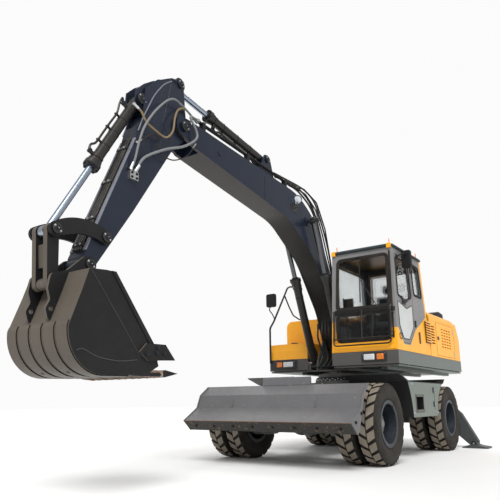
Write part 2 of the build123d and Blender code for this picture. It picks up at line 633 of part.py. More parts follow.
with BuildPart() as engine_cover:
    hood_form(0, SKIRT_TOP + 2, HOOD_REAR, HOOD_FRONT)
    hood_form(SHEET, SKIRT_TOP, HOOD_REAR - 1, HOOD_FRONT - SHEET, Mode.SUBTRACT)
    block(CAB_REAR - 14, HOOD_FRONT + 1, CAB_RIGHT - 14, SIDE + 10, SKIRT_TOP, HOOD_TOP + 10, Mode.SUBTRACT)
    block(HOOD_FRONT - 250, HOOD_FRONT + 1, GEAR_Y - BRACKET_IN - 60, GEAR_Y + BRACKET_IN + 60,
          SKIRT_TOP, HOOD_TOP + 1, Mode.SUBTRACT)
    block(LEFT_DOOR[0], LEFT_DOOR[1], SIDE - 60, SIDE + 10, *BAY_DOOR_Z, Mode.SUBTRACT)
    block(RIGHT_DOOR[0], RIGHT_DOOR[1], -SIDE - 10, -SIDE + 60, *BAY_DOOR_Z, Mode.SUBTRACT)
    block(*LID_X, *LID_Y, HOOD_TOP - 60, HOOD_TOP + 10, Mode.SUBTRACT)
    for row in range(LOUVRES):
        low = LOUVRE_Z + row * LOUVRE_PITCH
        block(*LOUVRE_X, SIDE - 60, SIDE + 10, low, low + LOUVRE_PITCH / 2, Mode.SUBTRACT)
finish(engine_cover, "engine_cover")

for name, (x_low, x_high), side in (("radiator_door", LEFT_DOOR, 1), ("pump_door", RIGHT_DOOR, -1)):
    with BuildPart() as bay_door:
        low, high = sorted((side * (SIDE - 3), side * (SIDE - 3 - SHEET)))
        block(x_low + DOOR_GAP, x_high - DOOR_GAP, low, high,
              BAY_DOOR_Z[0] + DOOR_GAP, BAY_DOOR_Z[1] - DOOR_GAP)
        # rows of air slots
        with Locations(Location(((x_low + x_high) / 2 - 60, side * SIDE, SLOT_MID_Z), (90, 0, 0))):
            with GridLocations(SLOT_PITCH[0], SLOT_PITCH[1], SLOT_COLUMNS, SLOT_ROWS):
                Box(SLOT[0], SLOT[1], 4 * SHEET, mode=Mode.SUBTRACT)
    finish(bay_door, name)

with BuildPart() as hood_lid:
    block(LID_X[0] + DOOR_GAP, LID_X[1] - DOOR_GAP, LID_Y[0] + DOOR_GAP, LID_Y[1] - DOOR_GAP,
          HOOD_TOP - 6, HOOD_TOP + 26)
    block(LID_X[0] + DOOR_GAP + SHEET, LID_X[1] - DOOR_GAP - SHEET, LID_Y[0] + DOOR_GAP + SHEET,
          LID_Y[1] - DOOR_GAP - SHEET, HOOD_TOP - 7, HOOD_TOP + 14, Mode.SUBTRACT)
finish(hood_lid, "hood_lid")

with BuildPart() as fuel_tank:
    slab([(HOOD_FRONT + 4, SKIRT_TOP + 2), (TANK_FRONT, SKIRT_TOP + 2), (TANK_FRONT, 1590),
          (TANK_FRONT - 40, TANK_TOP), (HOOD_FRONT + 4, TANK_TOP)], -SIDE + 3, TANK_IN)
    slab([(HOOD_FRONT + 16, SKIRT_TOP - 1), (TANK_FRONT - 12, SKIRT_TOP - 1), (TANK_FRONT - 12, 1588),
          (TANK_FRONT - 48, TANK_TOP - 12), (HOOD_FRONT + 16, TANK_TOP - 12)],
         -SIDE + 15, TANK_IN - 12, mode=Mode.SUBTRACT)
finish(fuel_tank, "fuel_tank")

with BuildPart() as engine_block:
    block(-1600, -760, -420, 420, DECK_Z - 8, 1880)
    block(-1540, -820, -360, 360, DECK_Z - 9, 1820, Mode.SUBTRACT)
finish(engine_block, "engine_block")

# --- upper structure: cab ---------------------------------------------------------------
CAB_MID_Y = (CAB_RIGHT + CAB_LEFT) / 2
CAB_LEAN_REAR = 90
CAB_LEAN_RIGHT = 10
CAB_FLOOR = SKIRT_TOP + 35
SILL = [(1300, 1760), (1010, 1760), (830, 1545), (580, 1545), (290, 1790), (-240, 2040),
        (-170, 2960), (-500, 2960), (-500, 1400), (1300, 1400)]
DOOR_PLAN = [(985, 1790), (840, 1565), (580, 1565), (310, 1800), (280, 2300), (300, 2850),
             (905, 2850)]
DOOR_INSET = 8
DOOR_WINDOW = [(900, 2240), (880, 2790), (370, 2790), (350, 2270), (620, 2180)]
QUARTER_WINDOW = [(215, 2330), (225, 2820), (-95, 2800), (-130, 2330)]
RIGHT_WINDOW = [(880, 1900), (860, 2790), (-90, 2790), (-120, 2050), (200, 1900)]
FRONT_WINDOW = [(330, 2080), (1130, 2080), (1110, 2830), (345, 2830)]
LOW_WINDOW = [(345, 1610), (1120, 1610), (1125, 1990), (335, 1990)]
REAR_WINDOW = [(340, 2140), (1120, 2140), (1100, 2790), (355, 2790)]


def cab_edges(z, inset):
    """Front, rear and side limits of the cab at a height."""
    up = (z - SKIRT_TOP) / (CAB_ROOF_Z - SKIRT_TOP)
    return (CAB_REAR + CAB_LEAN_REAR * up + inset, CAB_FRONT - CAB_LEAN_FRONT * up - inset,
            CAB_RIGHT + CAB_LEAN_RIGHT * up + inset, CAB_LEFT - CAB_LEAN_SIDE * up - inset)


def cab_form(inset, z_low, z_high, mode=Mode.ADD):
    """The leaning cab body between two heights, inset all round."""
    faces = []
    for z in (z_low, z_high):
        x_low, x_high, y_low, y_high = cab_edges(z, inset)
        with BuildSketch(Plane.XY.offset(z)) as section:
            with BuildLine():
                Polyline((x_low, y_low), (x_high, y_low), (x_high, y_high), (x_low, y_high), close=True)
            make_face()
        faces.append(section.sketch.faces()[0])
    loft(faces, ruled=True, mode=mode)


def cab_shell():
    """The whole cab skin, with floor and roof."""
    cab_form(0, SKIRT_TOP + 4, CAB_ROOF_Z)
    cab_form(CAB_WALL, CAB_FLOOR, CAB_ROOF_Z - CAB_WALL, Mode.SUBTRACT)


def cab_windows(mode):
    """The window openings through all four sides, as prisms."""
    slab(QUARTER_WINDOW, CAB_MID_Y, CAB_LEFT + 50, radius=50, mode=mode)
    slab(RIGHT_WINDOW, CAB_RIGHT - 50, CAB_MID_Y, radius=60, mode=mode)
    cross_slab(FRONT_WINDOW, 600, CAB_FRONT + 50, radius=60, mode=mode)
    cross_slab(LOW_WINDOW, 600, CAB_FRONT + 50, radius=60, mode=mode)
    cross_slab(REAR_WINDOW, CAB_REAR - 50, 0, radius=60, mode=mode)


with BuildPart() as cab_frame:
    cab_shell()
    slab(SILL, CAB_RIGHT - 100, CAB_LEFT + 100, mode=Mode.SUBTRACT)
    slab(DOOR_PLAN, CAB_MID_Y, CAB_LEFT + 100, radius=40, mode=Mode.SUBTRACT)
    cab_windows(Mode.SUBTRACT)
finish(cab_frame, "cab_frame")

with BuildPart() as cab_sill:
    cab_shell()
    slab(SILL, CAB_RIGHT - 100, CAB_LEFT + 100, mode=Mode.INTERSECT)
    slab(DOOR_PLAN, CAB_MID_Y, CAB_LEFT + 100, radius=40, mode=Mode.SUBTRACT)
    cab_windows(Mode.SUBTRACT)
finish(cab_sill, "cab_sill")

with BuildPart() as cab_door:
    cab_form(2, SKIRT_TOP + 4, CAB_ROOF_Z)
    cab_form(CAB_WALL - 2, CAB_FLOOR, CAB_ROOF_Z - CAB_WALL, Mode.SUBTRACT)
    with BuildSketch(xz(CAB_LEFT + 100)) as outline:
        with BuildLine():
            FilletPolyline(*DOOR_PLAN, radius=40, close=True)
        make_face()
        offset(amount=-DOOR_INSET)
    extrude(outline.sketch, amount=500, dir=(0, -1, 0), mode=Mode.INTERSECT)
    slab(DOOR_WINDOW, CAB_MID_Y, CAB_LEFT + 50, radius=40, mode=Mode.SUBTRACT)
finish(cab_door, "cab_door")


def glass_sheet():
    """A thin sheet all round, set back in the cab's skin."""
    cab_form(14, SKIRT_TOP + 60, CAB_ROOF_Z - 20)
    cab_form(20, SKIRT_TOP + 50, CAB_ROOF_Z - 10, Mode.SUBTRACT)


with BuildPart() as window_holes:
    cab_windows(Mode.ADD)

with BuildPart() as cab_glass:
    glass_sheet()
    add(window_holes.part, mode=Mode.INTERSECT)
finish(cab_glass, "cab_glass")

with BuildPart() as door_glass:
    glass_sheet()
    slab(DOOR_WINDOW, CAB_MID_Y, CAB_LEFT + 50, radius=40, mode=Mode.INTERSECT)
finish(door_glass, "door_glass")

with BuildPart() as cab_roof:
    x_low, x_high, y_low, y_high = cab_edges(CAB_ROOF_Z, -22)
    block(x_low, x_high, y_low, y_high, CAB_ROOF_Z + 2, CAB_ROOF_Z + 52)
    fillet(cab_roof.edges().filter_by(Axis.Z), 90)
    chamfer(cab_roof.faces().sort_by(Axis.Z)[-1].edges(), 18)
finish(cab_roof, "cab_roof")

with BuildPart() as seat:
    block(60, 520, 500, 980, 1780, 1900)
    slab([(30, 1880), (110, 1880), (60, 2420), (-50, 2420)], 510, 970)
    slab([(80, CAB_FLOOR), (480, CAB_FLOOR), (440, 1781), (120, 1781)], 560, 920)
finish(seat, "seat")

with BuildPart() as console:
    block(760, 880, 675, 795, CAB_FLOOR, CAB_FLOOR + 40)
    bar((814, 735, CAB_FLOOR + 30), (700, 735, 2040), 45)
    with BuildSketch(Plane(origin=(690, 735, 2060), z_dir=(-120, 0, 550))):
        Circle(190)
        Circle(172, mode=Mode.SUBTRACT)
    extrude(amount=20)
    bar((700, 735, 2030), (688, 735, 2085), 30)
    bar((690, 560, 2068), (690, 910, 2068), 10)
    block(120, 560, 1000, 1120, CAB_FLOOR, 1960)
    block(120, 560, 330, 450, CAB_FLOOR, 1960)
finish(console, "console")

with BuildPart() as windshield_guard:
    for y in (300, 725, 1150):
        bar((CAB_FRONT + 32, y, 1625), (CAB_FRONT - 7, y, 2055), 12)
    bar((CAB_FRONT + 30, 280, 1640), (CAB_FRONT + 30, 1170, 1640), 9)
    bar((CAB_FRONT - 5, 280, 2040), (CAB_FRONT - 5, 1170, 2040), 9)
finish(windshield_guard, "windshield_guard")

RAIL_R = 16
RAIL_Y = -SIDE + 30
RAIL_X = TANK_FRONT + RAIL_R + 14
RAIL = [(RAIL_X, SKIRT_TOP - 50), (RAIL_X, 1990), (370, 2130), (-110, 2790), (-215, 2835), (-540, 2835),
        (-600, 2780), (-790, HOOD_TOP - 14)]
BRACE = [(0, 2640), (-150, 2450), (-290, 2310), (-500, 2262), (-735, 2255)]
RAIL_BEND = 90


def tube(route, radius, bend):
    """A round tube along a route of points, with its corners bent to a radius."""
    with BuildLine() as path:
        FilletPolyline(*route, radius=bend)
    with BuildSketch(Plane(origin=path.line @ 0, z_dir=path.line % 0)) as section:
        Circle(radius)
    sweep(section.sketch, path=path.line)


with BuildPart() as handrail:
    tube([at(spot, RAIL_Y) for spot in RAIL], RAIL_R, RAIL_BEND)
    tube([at(spot, RAIL_Y) for spot in BRACE], RAIL_R - 3, RAIL_BEND)
    block(TANK_FRONT + 1, RAIL_X, RAIL_Y - 12, RAIL_Y + 12, SKIRT_TOP - 40, SKIRT_TOP - 8)
finish(handrail, "handrail")

MIRROR_T = 45
MIRROR_ARM_R = 9
RIGHT_MIRROR = Vector(520, -SIDE + 75, 2465)
LEFT_MIRROR = Vector(630, 1271, 2796)


def mirror_head(holder, centre, width, height):
    """A mirror shell with rounded edges and a hollow back for the glass."""
    with Locations(centre):
        Box(MIRROR_T, width, height)
    fillet(holder.edges().filter_by(Axis.X), 35)
    fillet(holder.faces().sort_by(Axis.X)[-1].edges(), 14)
    with Locations(centre - Vector(MIRROR_T / 2, 0, 0)):
        Box(8, width - 24, height - 24, mode=Mode.SUBTRACT)


with BuildPart() as side_mirror:
    mirror_head(side_mirror, RIGHT_MIRROR, 185, 230)
    tube([RIGHT_MIRROR - Vector(-10, 0, 60), RIGHT_MIRROR - Vector(-30, 20, 170),
          at((430, 2245), RAIL_Y + 8), at((372, 2158), RAIL_Y + 20)], MIRROR_ARM_R, 30)
finish(side_mirror, "mirror_right")
with BuildPart() as side_mirror:
    mirror_head(side_mirror, LEFT_MIRROR, 144, 270)
    # arm to a foot on the door's top rail
    tube([LEFT_MIRROR + Vector(8, 0, 60), LEFT_MIRROR + Vector(110, 0, 68), Vector(800, 1193, 2820)],
         MIRROR_ARM_R, 26)
    block(760, 840, 1187, 1196, 2804, 2836)
finish(side_mirror, "mirror_left")

# --- boom -------------------------------------------------------------------------------
BOOM_LOWER = [(3950, 3640), (1850, 3340), (1120, 2900), (520, 2160), (330, 1700)]
BOOM_UPPER = [(-5, 1740), (330, 2240), (985, 3480), (1560, 3800), (4020, 3940)]
BOOM_BENDS = [60, 900, 1100, 900, 60, 60, 600, 1100, 1100, 60]
FORK_X = 3830
HOLLOW_ENDS = [(100, 2030), (600, 1925), (FORK_X - 30, 3200), (FORK_X - 30, 4200), (100, 4200)]


with BuildPart() as boom:
    half = BOOM_W / 2
    slab(BOOM_LOWER + BOOM_UPPER, GEAR_Y - half, GEAR_Y + half, radius=BOOM_BENDS)
    disc(FOOT, 118, GEAR_Y - half, GEAR_Y + half)
    disc(NOSE, 120, GEAR_Y - half, GEAR_Y + half)
    slab([(3900, 3640), (4020, 3940), (4130, 3935), (4240, 3820), (4130, 3705)], GEAR_Y - half, GEAR_Y + half)
    with BuildSketch(xz(GEAR_Y + half - PLATE)) as hollow:
        with BuildLine():
            FilletPolyline(*BOOM_LOWER, *BOOM_UPPER, radius=BOOM_BENDS, close=True)
        make_face()
        offset(amount=-BOOM_SKIN, kind=Kind.INTERSECTION)
        with BuildLine():
            Polyline(*HOLLOW_ENDS, close=True)
        make_face(mode=Mode.INTERSECT)
    extrude(hollow.sketch, amount=BOOM_W - 2 * PLATE, dir=(0, -1, 0), mode=Mode.SUBTRACT)
    # fork for the arm
    slab([(FORK_X, 3400), (FORK_X, 4100), (4400, 4100), (4400, 3400)],
         GEAR_Y - ARM_W / 2 - 9, GEAR_Y + ARM_W / 2 + 9, mode=Mode.SUBTRACT)
    # bosses for the rods' pin
    disc(ROD_PIN, 70, GEAR_Y - half - 18, GEAR_Y + half + 18)
    # lugs of the arm cylinder on top
    for hand in (1, -1):
        low, high = sorted((GEAR_Y + hand * LUG_GAP, GEAR_Y + hand * (LUG_GAP + 22)))
        slab([(2080, 3800), (2200, 4150), (2260, 4190), (2330, 4180), (2380, 4100), (2520, 3840)], low, high)
    disc(ARM_LUG, PIN_R, GEAR_Y - LUG_GAP - 34, GEAR_Y + LUG_GAP + 34)
    disc(FOOT, FOOT_PIN_R + RUN, GEAR_Y - half - 1, GEAR_Y + half + 1, Mode.SUBTRACT)
    disc(NOSE, 38, GEAR_Y - half - 24, GEAR_Y + half + 24)
finish(boom, "boom")

PIPE_R = 11
PIPE_RISE = 90
PIPE_ROWS = ((-142, 0.0), (-112, 0.55), (112, 1.0), (142, 0.3))    # from the boom's plane, slack
PIPE_TIGHT = [(1300, 3850), (1010, 3650), (840, 3280), (640, 2880)]
PIPE_SLACK = [(1290, 3985), (880, 3880), (620, 3500), (470, 2980)]
PIPE_FOOT = [(380, 2440), (205, 2125)]
CLAMPS = (3760, 2840, 1900)
PIPE_END = 3860               # short of the arm's heel when the arm is out


def boom_top(x):
    """Height of the boom's straight top plate at x."""
    (x_low, z_low), (x_high, z_high) = BOOM_UPPER[3:]
    return z_low + (x - x_low) * (z_high - z_low) / (x_high - x_low)


with BuildPart() as boom_pipes:
    for offset_y, slack in PIPE_ROWS:
        route = [(PIPE_END, boom_top(PIPE_END) + PIPE_RISE), (1700, boom_top(1700) + PIPE_RISE)]
        route += [(x + slack * (far_x - x), z + slack * (far_z - z))
                  for (x, z), (far_x, far_z) in zip(PIPE_TIGHT, PIPE_SLACK)]
        tube([at(spot, GEAR_Y + offset_y) for spot in route + PIPE_FOOT], PIPE_R, 110)
    for hand in (1, -1):
        low, high = sorted((GEAR_Y + hand * 96, GEAR_Y + hand * 158))
        for x in CLAMPS:
            slab([(x - 25, boom_top(x - 25) + 1), (x + 25, boom_top(x + 25) + 1),
                  (x + 25, boom_top(x) + PIPE_RISE + 18), (x - 25, boom_top(x) + PIPE_RISE + 18)], low, high)
finish(boom_pipes, "boom_pipes")

BOOM_CYL = {"radius": 62, "length": 1450, "rod": 36, "run_in": 1290}
with BuildPart() as boom_cylinder_barrels:
    for y in (GEAR_Y - CYL_SPREAD, GEAR_Y + CYL_SPREAD):
        cylinder_barrel(at(BOOM_LUG, y), at(ROD_PIN, y), ACROSS, BOOM_CYL["radius"], BOOM_CYL["length"],
                        CYL_EYE_W, BOOM_CYL["rod"])
finish(boom_cylinder_barrels, "boom_cylinder_barrels")
with BuildPart() as boom_cylinder_rods:
    for y in (GEAR_Y - CYL_SPREAD, GEAR_Y + CYL_SPREAD):
        pinned_rod(at(BOOM_LUG, y), at(ROD_PIN, y), ACROSS, BOOM_CYL["rod"], BOOM_CYL["run_in"],
                   CYL_EYE_W - 16, 2 * (CYL_SPREAD - BOOM_W / 2 - 24))
finish(boom_cylinder_rods, "boom_cylinder_rods")

# --- arm --------------------------------------------------------------------------------
ARM_FRONT = [(4330, 4330), (4520, 4240), (4690, 4060), (4720, 3720), (4800, 3430), (5380, 2040)]
ARM_REAR = [(5260, 1960), (4800, 2640), (4270, 3480), (4030, 3720), (4040, 3900), (4090, 4330)]
HEAD_PLATE = [(4180, 4300), (4170, 4420), (4260, 4402), (4355, 4344), (4567, 4208), (4693, 4112),
              (4790, 4010), (4800, 3900), (4740, 3840), (4690, 3780), (4610, 3800), (4480, 4100)]
ROD_SLOT = 47

with BuildPart() as arm:
    half = ARM_W / 2
    slab(ARM_FRONT + ARM_REAR, GEAR_Y - half, GEAR_Y + half, radius=30)
    disc(ARM_TOP, 78, GEAR_Y - half, GEAR_Y + half)
    disc(BUCKET_PIN, 72, GEAR_Y - half, GEAR_Y + half)
    slab([(4400, 4150), (4470, 4110), (4560, 3990), (4590, 3760), (4750, 3400), (5140, 2420),
          (5060, 2340), (4830, 2680), (4330, 3480), (4200, 3640), (4330, 3900)],
         GEAR_Y - half + PLATE, GEAR_Y + half - PLATE, radius=20, mode=Mode.SUBTRACT)
    # pocket for the base of the bucket cylinder
    slab([(4590, 4200), (4620, 4060), (4630, 3820), (4730, 3600), (4900, 3600), (4900, 4200)],
         GEAR_Y - half + PLATE, GEAR_Y + half - PLATE, mode=Mode.SUBTRACT)
    # slot for the arm cylinder's rod
    slab([(4000, 4230), (4330, 4200), (4330, 4500), (4000, 4500)], GEAR_Y - ROD_SLOT, GEAR_Y + ROD_SLOT,
         mode=Mode.SUBTRACT)
    for hand in (1, -1):
        low, high = sorted((GEAR_Y + hand * half, GEAR_Y + hand * (half + 12)))
        disc(ARM_TOP, PIN_R, low, high)
    # lugs of the bucket cylinder
    for hand in (1, -1):
        low, high = sorted((GEAR_Y + hand * LUG_GAP, GEAR_Y + hand * (LUG_GAP + 20)))
        slab(HEAD_PLATE, low, high)
    disc(BUCKET_LUG, PIN_R, GEAR_Y - LUG_GAP - 32, GEAR_Y + LUG_GAP + 32)
    disc(NOSE, 38 + RUN, GEAR_Y - half - 1, GEAR_Y + half + 1, Mode.SUBTRACT)
    disc(ROCKER_PIN, PIN_R, GEAR_Y - half - 46, GEAR_Y + half + 46)
    disc(BUCKET_PIN, PIN_R + RUN, GEAR_Y - half - 1, GEAR_Y + half + 1, Mode.SUBTRACT)
finish(arm, "arm")

ARM_CYL = {"radius": 58, "length": 1250, "rod": 36}
with BuildPart() as arm_cylinder_barrel:
    cylinder_barrel(at(ARM_LUG, GEAR_Y), at(ARM_TOP, GEAR_Y), ACROSS, ARM_CYL["radius"],
                    ARM_CYL["length"], 2 * LUG_GAP - 8, ARM_CYL["rod"])
finish(arm_cylinder_barrel, "arm_cylinder_barrel")
with BuildPart() as arm_cylinder_rod:
    pinned_rod(at(ARM_LUG, GEAR_Y), at(ARM_TOP, GEAR_Y), ACROSS, ARM_CYL["rod"], 1190, 76,
               2 * ROD_SLOT - 4)
finish(arm_cylinder_rod, "arm_cylinder_rod")

BUCKET_CYL = {"radius": 56, "length": 1085, "rod": 34}
with BuildPart() as bucket_cylinder_barrel:
    cylinder_barrel(at(BUCKET_LUG, GEAR_Y), at(LINK_TOP, GEAR_Y), ACROSS, BUCKET_CYL["radius"],
                    BUCKET_CYL["length"], 2 * LUG_GAP - 8, BUCKET_CYL["rod"])
finish(bucket_cylinder_barrel, "bucket_cylinder_barrel")
with BuildPart() as bucket_cylinder_rod:
    pinned_rod(at(BUCKET_LUG, GEAR_Y), at(LINK_TOP, GEAR_Y), ACROSS, BUCKET_CYL["rod"], 1150, 70, 84)
finish(bucket_cylinder_rod, "bucket_cylinder_rod")

# --- bucket linkage ---------------------------------------------------------------------
ROCKER_IN = ARM_W / 2 + 8
ROCKER_T = 30
EAR_GAP = 14
LINK_T = 55
LINK_IN = ARM_W / 2 + 6 - EAR_GAP - LINK_T
LINK_PIN_IN = 46              # the link's top pin is open for the rod's eye inside this

with BuildPart() as rockers:
    for hand in (1, -1):
        low, high = sorted((GEAR_Y + hand * ROCKER_IN, GEAR_Y + hand * (ROCKER_IN + ROCKER_T)))
        with BuildSketch(xz(high)) as banana:
            with BuildLine():
                ThreePointArc((5125, 2322), (5440, 2378), (5742, 2272))
                Line((5742, 2272), (5672, 2166))
                ThreePointArc((5672, 2166), (5430, 2238), (5190, 2210))
                Line((5190, 2210), (5125, 2322))
            make_face()
        extrude(banana.sketch, amount=ROCKER_T, dir=(0, -1, 0))
        disc(ROCKER_PIN, 68, low, high)
        disc(LINK_TOP, 66, low, high)
        disc(ROCKER_PIN, PIN_R + RUN, low - 1, high + 1, Mode.SUBTRACT)
        low, high = sorted((GEAR_Y + hand * LINK_PIN_IN, GEAR_Y + hand * (ROCKER_IN + ROCKER_T + 10)))
        disc(LINK_TOP, PIN_R, low, high)
finish(rockers, "rockers")

with BuildPart() as h_link:
    for hand in (1, -1):
        low, high = sorted((GEAR_Y + hand * LINK_IN, GEAR_Y + hand * (LINK_IN + LINK_T)))
        slab([(5640, 2230), (5760, 2230), (5725, 1760), (5617, 1760)], low, high)
        disc(LINK_TOP, 62, low, high)
        disc(LINK_LOW, 54, low, high)
    slab([(5665, 2100), (5725, 2100), (5705, 1900), (5645, 1900)], GEAR_Y - LINK_IN - 1, GEAR_Y + LINK_IN + 1)
    disc(LINK_LOW, PIN_R, GEAR_Y - LINK_IN - LINK_T - 6, GEAR_Y + LINK_IN + LINK_T + 6)
    for hand in (1, -1):
        low, high = sorted((GEAR_Y + hand * (LINK_IN - 1), GEAR_Y + hand * (LINK_IN + LINK_T + 1)))
        disc(LINK_TOP, PIN_R + RUN, low, high, Mode.SUBTRACT)
finish(h_link, "h_link")

# --- bucket -----------------------------------------------------------------------------
SHELL_T = 18
LIFT_EYE = (5702, 1533)
LIFT_EYE_R = 20
EAR_T = 30
EAR = [(5270, 1940), (5300, 2040), (5385, 2045), (5560, 1890), (5720, 1830), (5742, 1700), (5712, 1610),
       (5752, 1530), (5722, 1440), (5650, 1440), (5560, 1800), (5300, 1860)]
EAR_BENDS = [20, 40, 40, 60, 50, 60, 40, 40, 30, 30, 40, 20]
SHELL_MOUTH = [(5545, 1868), (5363, 1885), (5275, 1885), (4773, 1304), (4706, 1100), (4870, 1012)]
SHELL_LOW = (5360, 1002)
SHELL_HEEL = (5640, 1138)
SHELL_BACK = (5718, 1380)
SHELL_NECK = (5600, 1700)
STRIPS = 5
STRIP_W = 132
STRIP_T = 10
STRIP_END = [(5060, 900), (5900, 900), (5900, 1470), (5640, 1400), (5060, 1100)]
TEETH = 5
TOOTH = [(4760, 992), (4600, 1004), (4430, 1042), (4600, 1070), (4760, 1056)]
CUTTER = [(4965, 1215), (4880, 1296), (4640, 1300), (4505, 1162), (4690, 1152), (4853, 1138)]


def shell_face(grow):
    """The bucket's side view as a face, grown outwards or shrunk."""
    with BuildSketch() as side_view:
        with BuildLine():
            Polyline(*SHELL_MOUTH, SHELL_LOW)
            ThreePointArc(SHELL_LOW, SHELL_HEEL, SHELL_BACK)
            Polyline(SHELL_BACK, SHELL_NECK, SHELL_MOUTH[0])
        make_face()
        if grow:
            offset(amount=grow, kind=Kind.INTERSECTION)
    return side_view.sketch


with BuildPart() as bucket:
    half = BUCKET_W / 2
    with BuildSketch(xz(GEAR_Y + half)) as outer:
        add(shell_face(0))
    extrude(outer.sketch, amount=BUCKET_W, dir=(0, -1, 0))
    # wear strips round the heel
    for index in range(STRIPS):
        y = GEAR_Y - half + STRIP_W / 2 + 12 + index * (BUCKET_W - STRIP_W - 24) / (STRIPS - 1)
        with BuildSketch(xz(y + STRIP_W / 2)) as strip:
            add(shell_face(STRIP_T))
            with BuildLine():
                Polyline(*STRIP_END, close=True)
            make_face(mode=Mode.INTERSECT)
        extrude(strip.sketch, amount=STRIP_W, dir=(0, -1, 0))
    with BuildSketch(xz(GEAR_Y + half - SHELL_T)) as inner:
        add(shell_face(-SHELL_T))
        with BuildLine():
            Polyline((5300, 1870), (4700, 1400), (4500, 1060), (4760, 1034), (5100, 1100), (5300, 1500),
                     close=True)
        make_face()
    extrude(inner.sketch, amount=BUCKET_W - 2 * SHELL_T, dir=(0, -1, 0), mode=Mode.SUBTRACT)
    # hanger ears over the pins
    for hand in (1, -1):
        low, high = sorted((GEAR_Y + hand * (LINK_IN + LINK_T + EAR_GAP),
                            GEAR_Y + hand * (LINK_IN + LINK_T + EAR_GAP + EAR_T)))
        slab(EAR, low, high, radius=EAR_BENDS)
        disc(LIFT_EYE, LIFT_EYE_R, low - 1, high + 1, Mode.SUBTRACT)
        disc(BUCKET_PIN, 70, low, high)
        disc(LINK_LOW, 62, low, high)
    disc(BUCKET_PIN, PIN_R, GEAR_Y - LINK_IN - LINK_T - 50, GEAR_Y + LINK_IN + LINK_T + 50)
    # cutting edge, teeth and side cutters
    slab([(4960, 1003), (4690, 1008), (4660, 1024), (4700, 1044), (4960, 1034)], GEAR_Y - half, GEAR_Y + half)
    for index in range(TEETH):
        y = GEAR_Y - half + 50 + index * (BUCKET_W - 100) / (TEETH - 1)
        slab(TOOTH, y - 38, y + 38)
    for hand in (1, -1):
        low, high = sorted((GEAR_Y + hand * (half - 1), GEAR_Y + hand * (half + 22)))
        slab(CUTTER, low, high)
finish(bucket, "bucket")
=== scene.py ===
"""Looks of the wheeled excavator: its finishes and its fine pieces, as a Blender add-on."""

import math

import bmesh
import bpy
from bpy.props import FloatProperty, FloatVectorProperty, IntProperty, PointerProperty
from mathutils import Matrix, Vector


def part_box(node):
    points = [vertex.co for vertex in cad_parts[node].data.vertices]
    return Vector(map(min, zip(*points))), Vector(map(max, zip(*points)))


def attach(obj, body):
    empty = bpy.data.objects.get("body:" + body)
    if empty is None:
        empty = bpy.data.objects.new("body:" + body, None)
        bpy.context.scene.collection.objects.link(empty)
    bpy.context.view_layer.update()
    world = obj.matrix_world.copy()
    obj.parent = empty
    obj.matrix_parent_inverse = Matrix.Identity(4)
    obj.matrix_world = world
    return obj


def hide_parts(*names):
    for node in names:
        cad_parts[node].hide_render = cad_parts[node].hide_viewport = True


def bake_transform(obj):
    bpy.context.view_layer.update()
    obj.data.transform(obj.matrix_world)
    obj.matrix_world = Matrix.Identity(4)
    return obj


bl_info = {
    "name": "Wheeled Excavator",
    "version": (1, 0, 0),
    "blender": (4, 5, 0),
    "location": "3D View > Sidebar > Excavator",
    "description": "Finishes and fine pieces of a wheeled excavator",
    "category": "Object",
}

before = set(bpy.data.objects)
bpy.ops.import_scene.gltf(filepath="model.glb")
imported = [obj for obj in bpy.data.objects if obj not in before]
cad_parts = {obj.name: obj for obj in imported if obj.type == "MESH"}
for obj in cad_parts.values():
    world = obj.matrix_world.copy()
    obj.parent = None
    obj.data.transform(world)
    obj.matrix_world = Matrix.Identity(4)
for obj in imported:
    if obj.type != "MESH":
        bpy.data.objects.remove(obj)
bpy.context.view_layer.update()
RING_LOW, RING_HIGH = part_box("slew_ring")
SLEW_X = (RING_LOW[0] + RING_HIGH[0]) / 2      # the slewing centre; pieces are drawn about it
SHIFT = Vector((SLEW_X, 0, 0))                 # takes a place drawn there to the frame
SNAPS = 2000                                   # per metre; sizes from the frame are snapped to them


def node_box(node):
    """Low and high corner of one of the frame's nodes, about the slewing centre."""
    return [[round(value * SNAPS) / SNAPS for value in corner - SHIFT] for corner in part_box(node)]


def middle(node):
    """Middle of one of the frame's nodes, about the slewing centre."""
    low, high = node_box(node)
    return [(a + b) / 2 for a, b in zip(low, high)]


GEAR_Y = middle("boom")[1]                     # plane of the boom, arm and bucket


# --- small geometry -----------------------------------------------------------------------
def cross_frame(direction):
    """Two unit vectors square to a direction."""
    direction = Vector(direction).normalized()
    spare = Vector((0, 0, 1)) if abs(direction.z) < 0.9 else Vector((1, 0, 0))
    first = direction.cross(spare).normalized()
    return first, direction.cross(first)


def rectangle(a_low, b_low, a_high, b_high):
    """The corners of an upright rectangle, round from its low corner."""
    return [(a_low, b_low), (a_high, b_low), (a_high, b_high), (a_low, b_high)]


def circle(centre, first, second, radius, sides):
    """Points round a centre, in the plane of two unit vectors."""
    turns = (math.tau * i / sides for i in range(sides))
    return [centre + (first * math.cos(a) + second * math.sin(a)) * radius for a in turns]


def add_loft(bm, rings, slot=0):
    """Skins a list of closed rings of points and caps both ends."""
    loops = [[bm.verts.new(point) for point in ring] for ring in rings]
    count = len(loops[0])
    for near, far in zip(loops, loops[1:]):
        for i in range(count):
            j = (i + 1) % count
            bm.faces.new((near[i], near[j], far[j], far[i])).material_index = slot
    bm.faces.new(loops[0][::-1]).material_index = slot
    bm.faces.new(loops[-1]).material_index = slot


def add_box(bm, low, high, slot=0):
    """A box between two corners."""
    (x0, y0, z0), (x1, y1, z1) = low, high
    add_loft(bm, [[(x, y, z) for x, y in rectangle(x0, y0, x1, y1)] for z in (z0, z1)], slot)


def add_plate(bm, outline, y_low, y_high, slot=0):
    """A plate with an (x, z) outline between two y values."""
    add_loft(bm, [[(x, y, z) for x, z in outline] for y in (y_low, y_high)], slot)


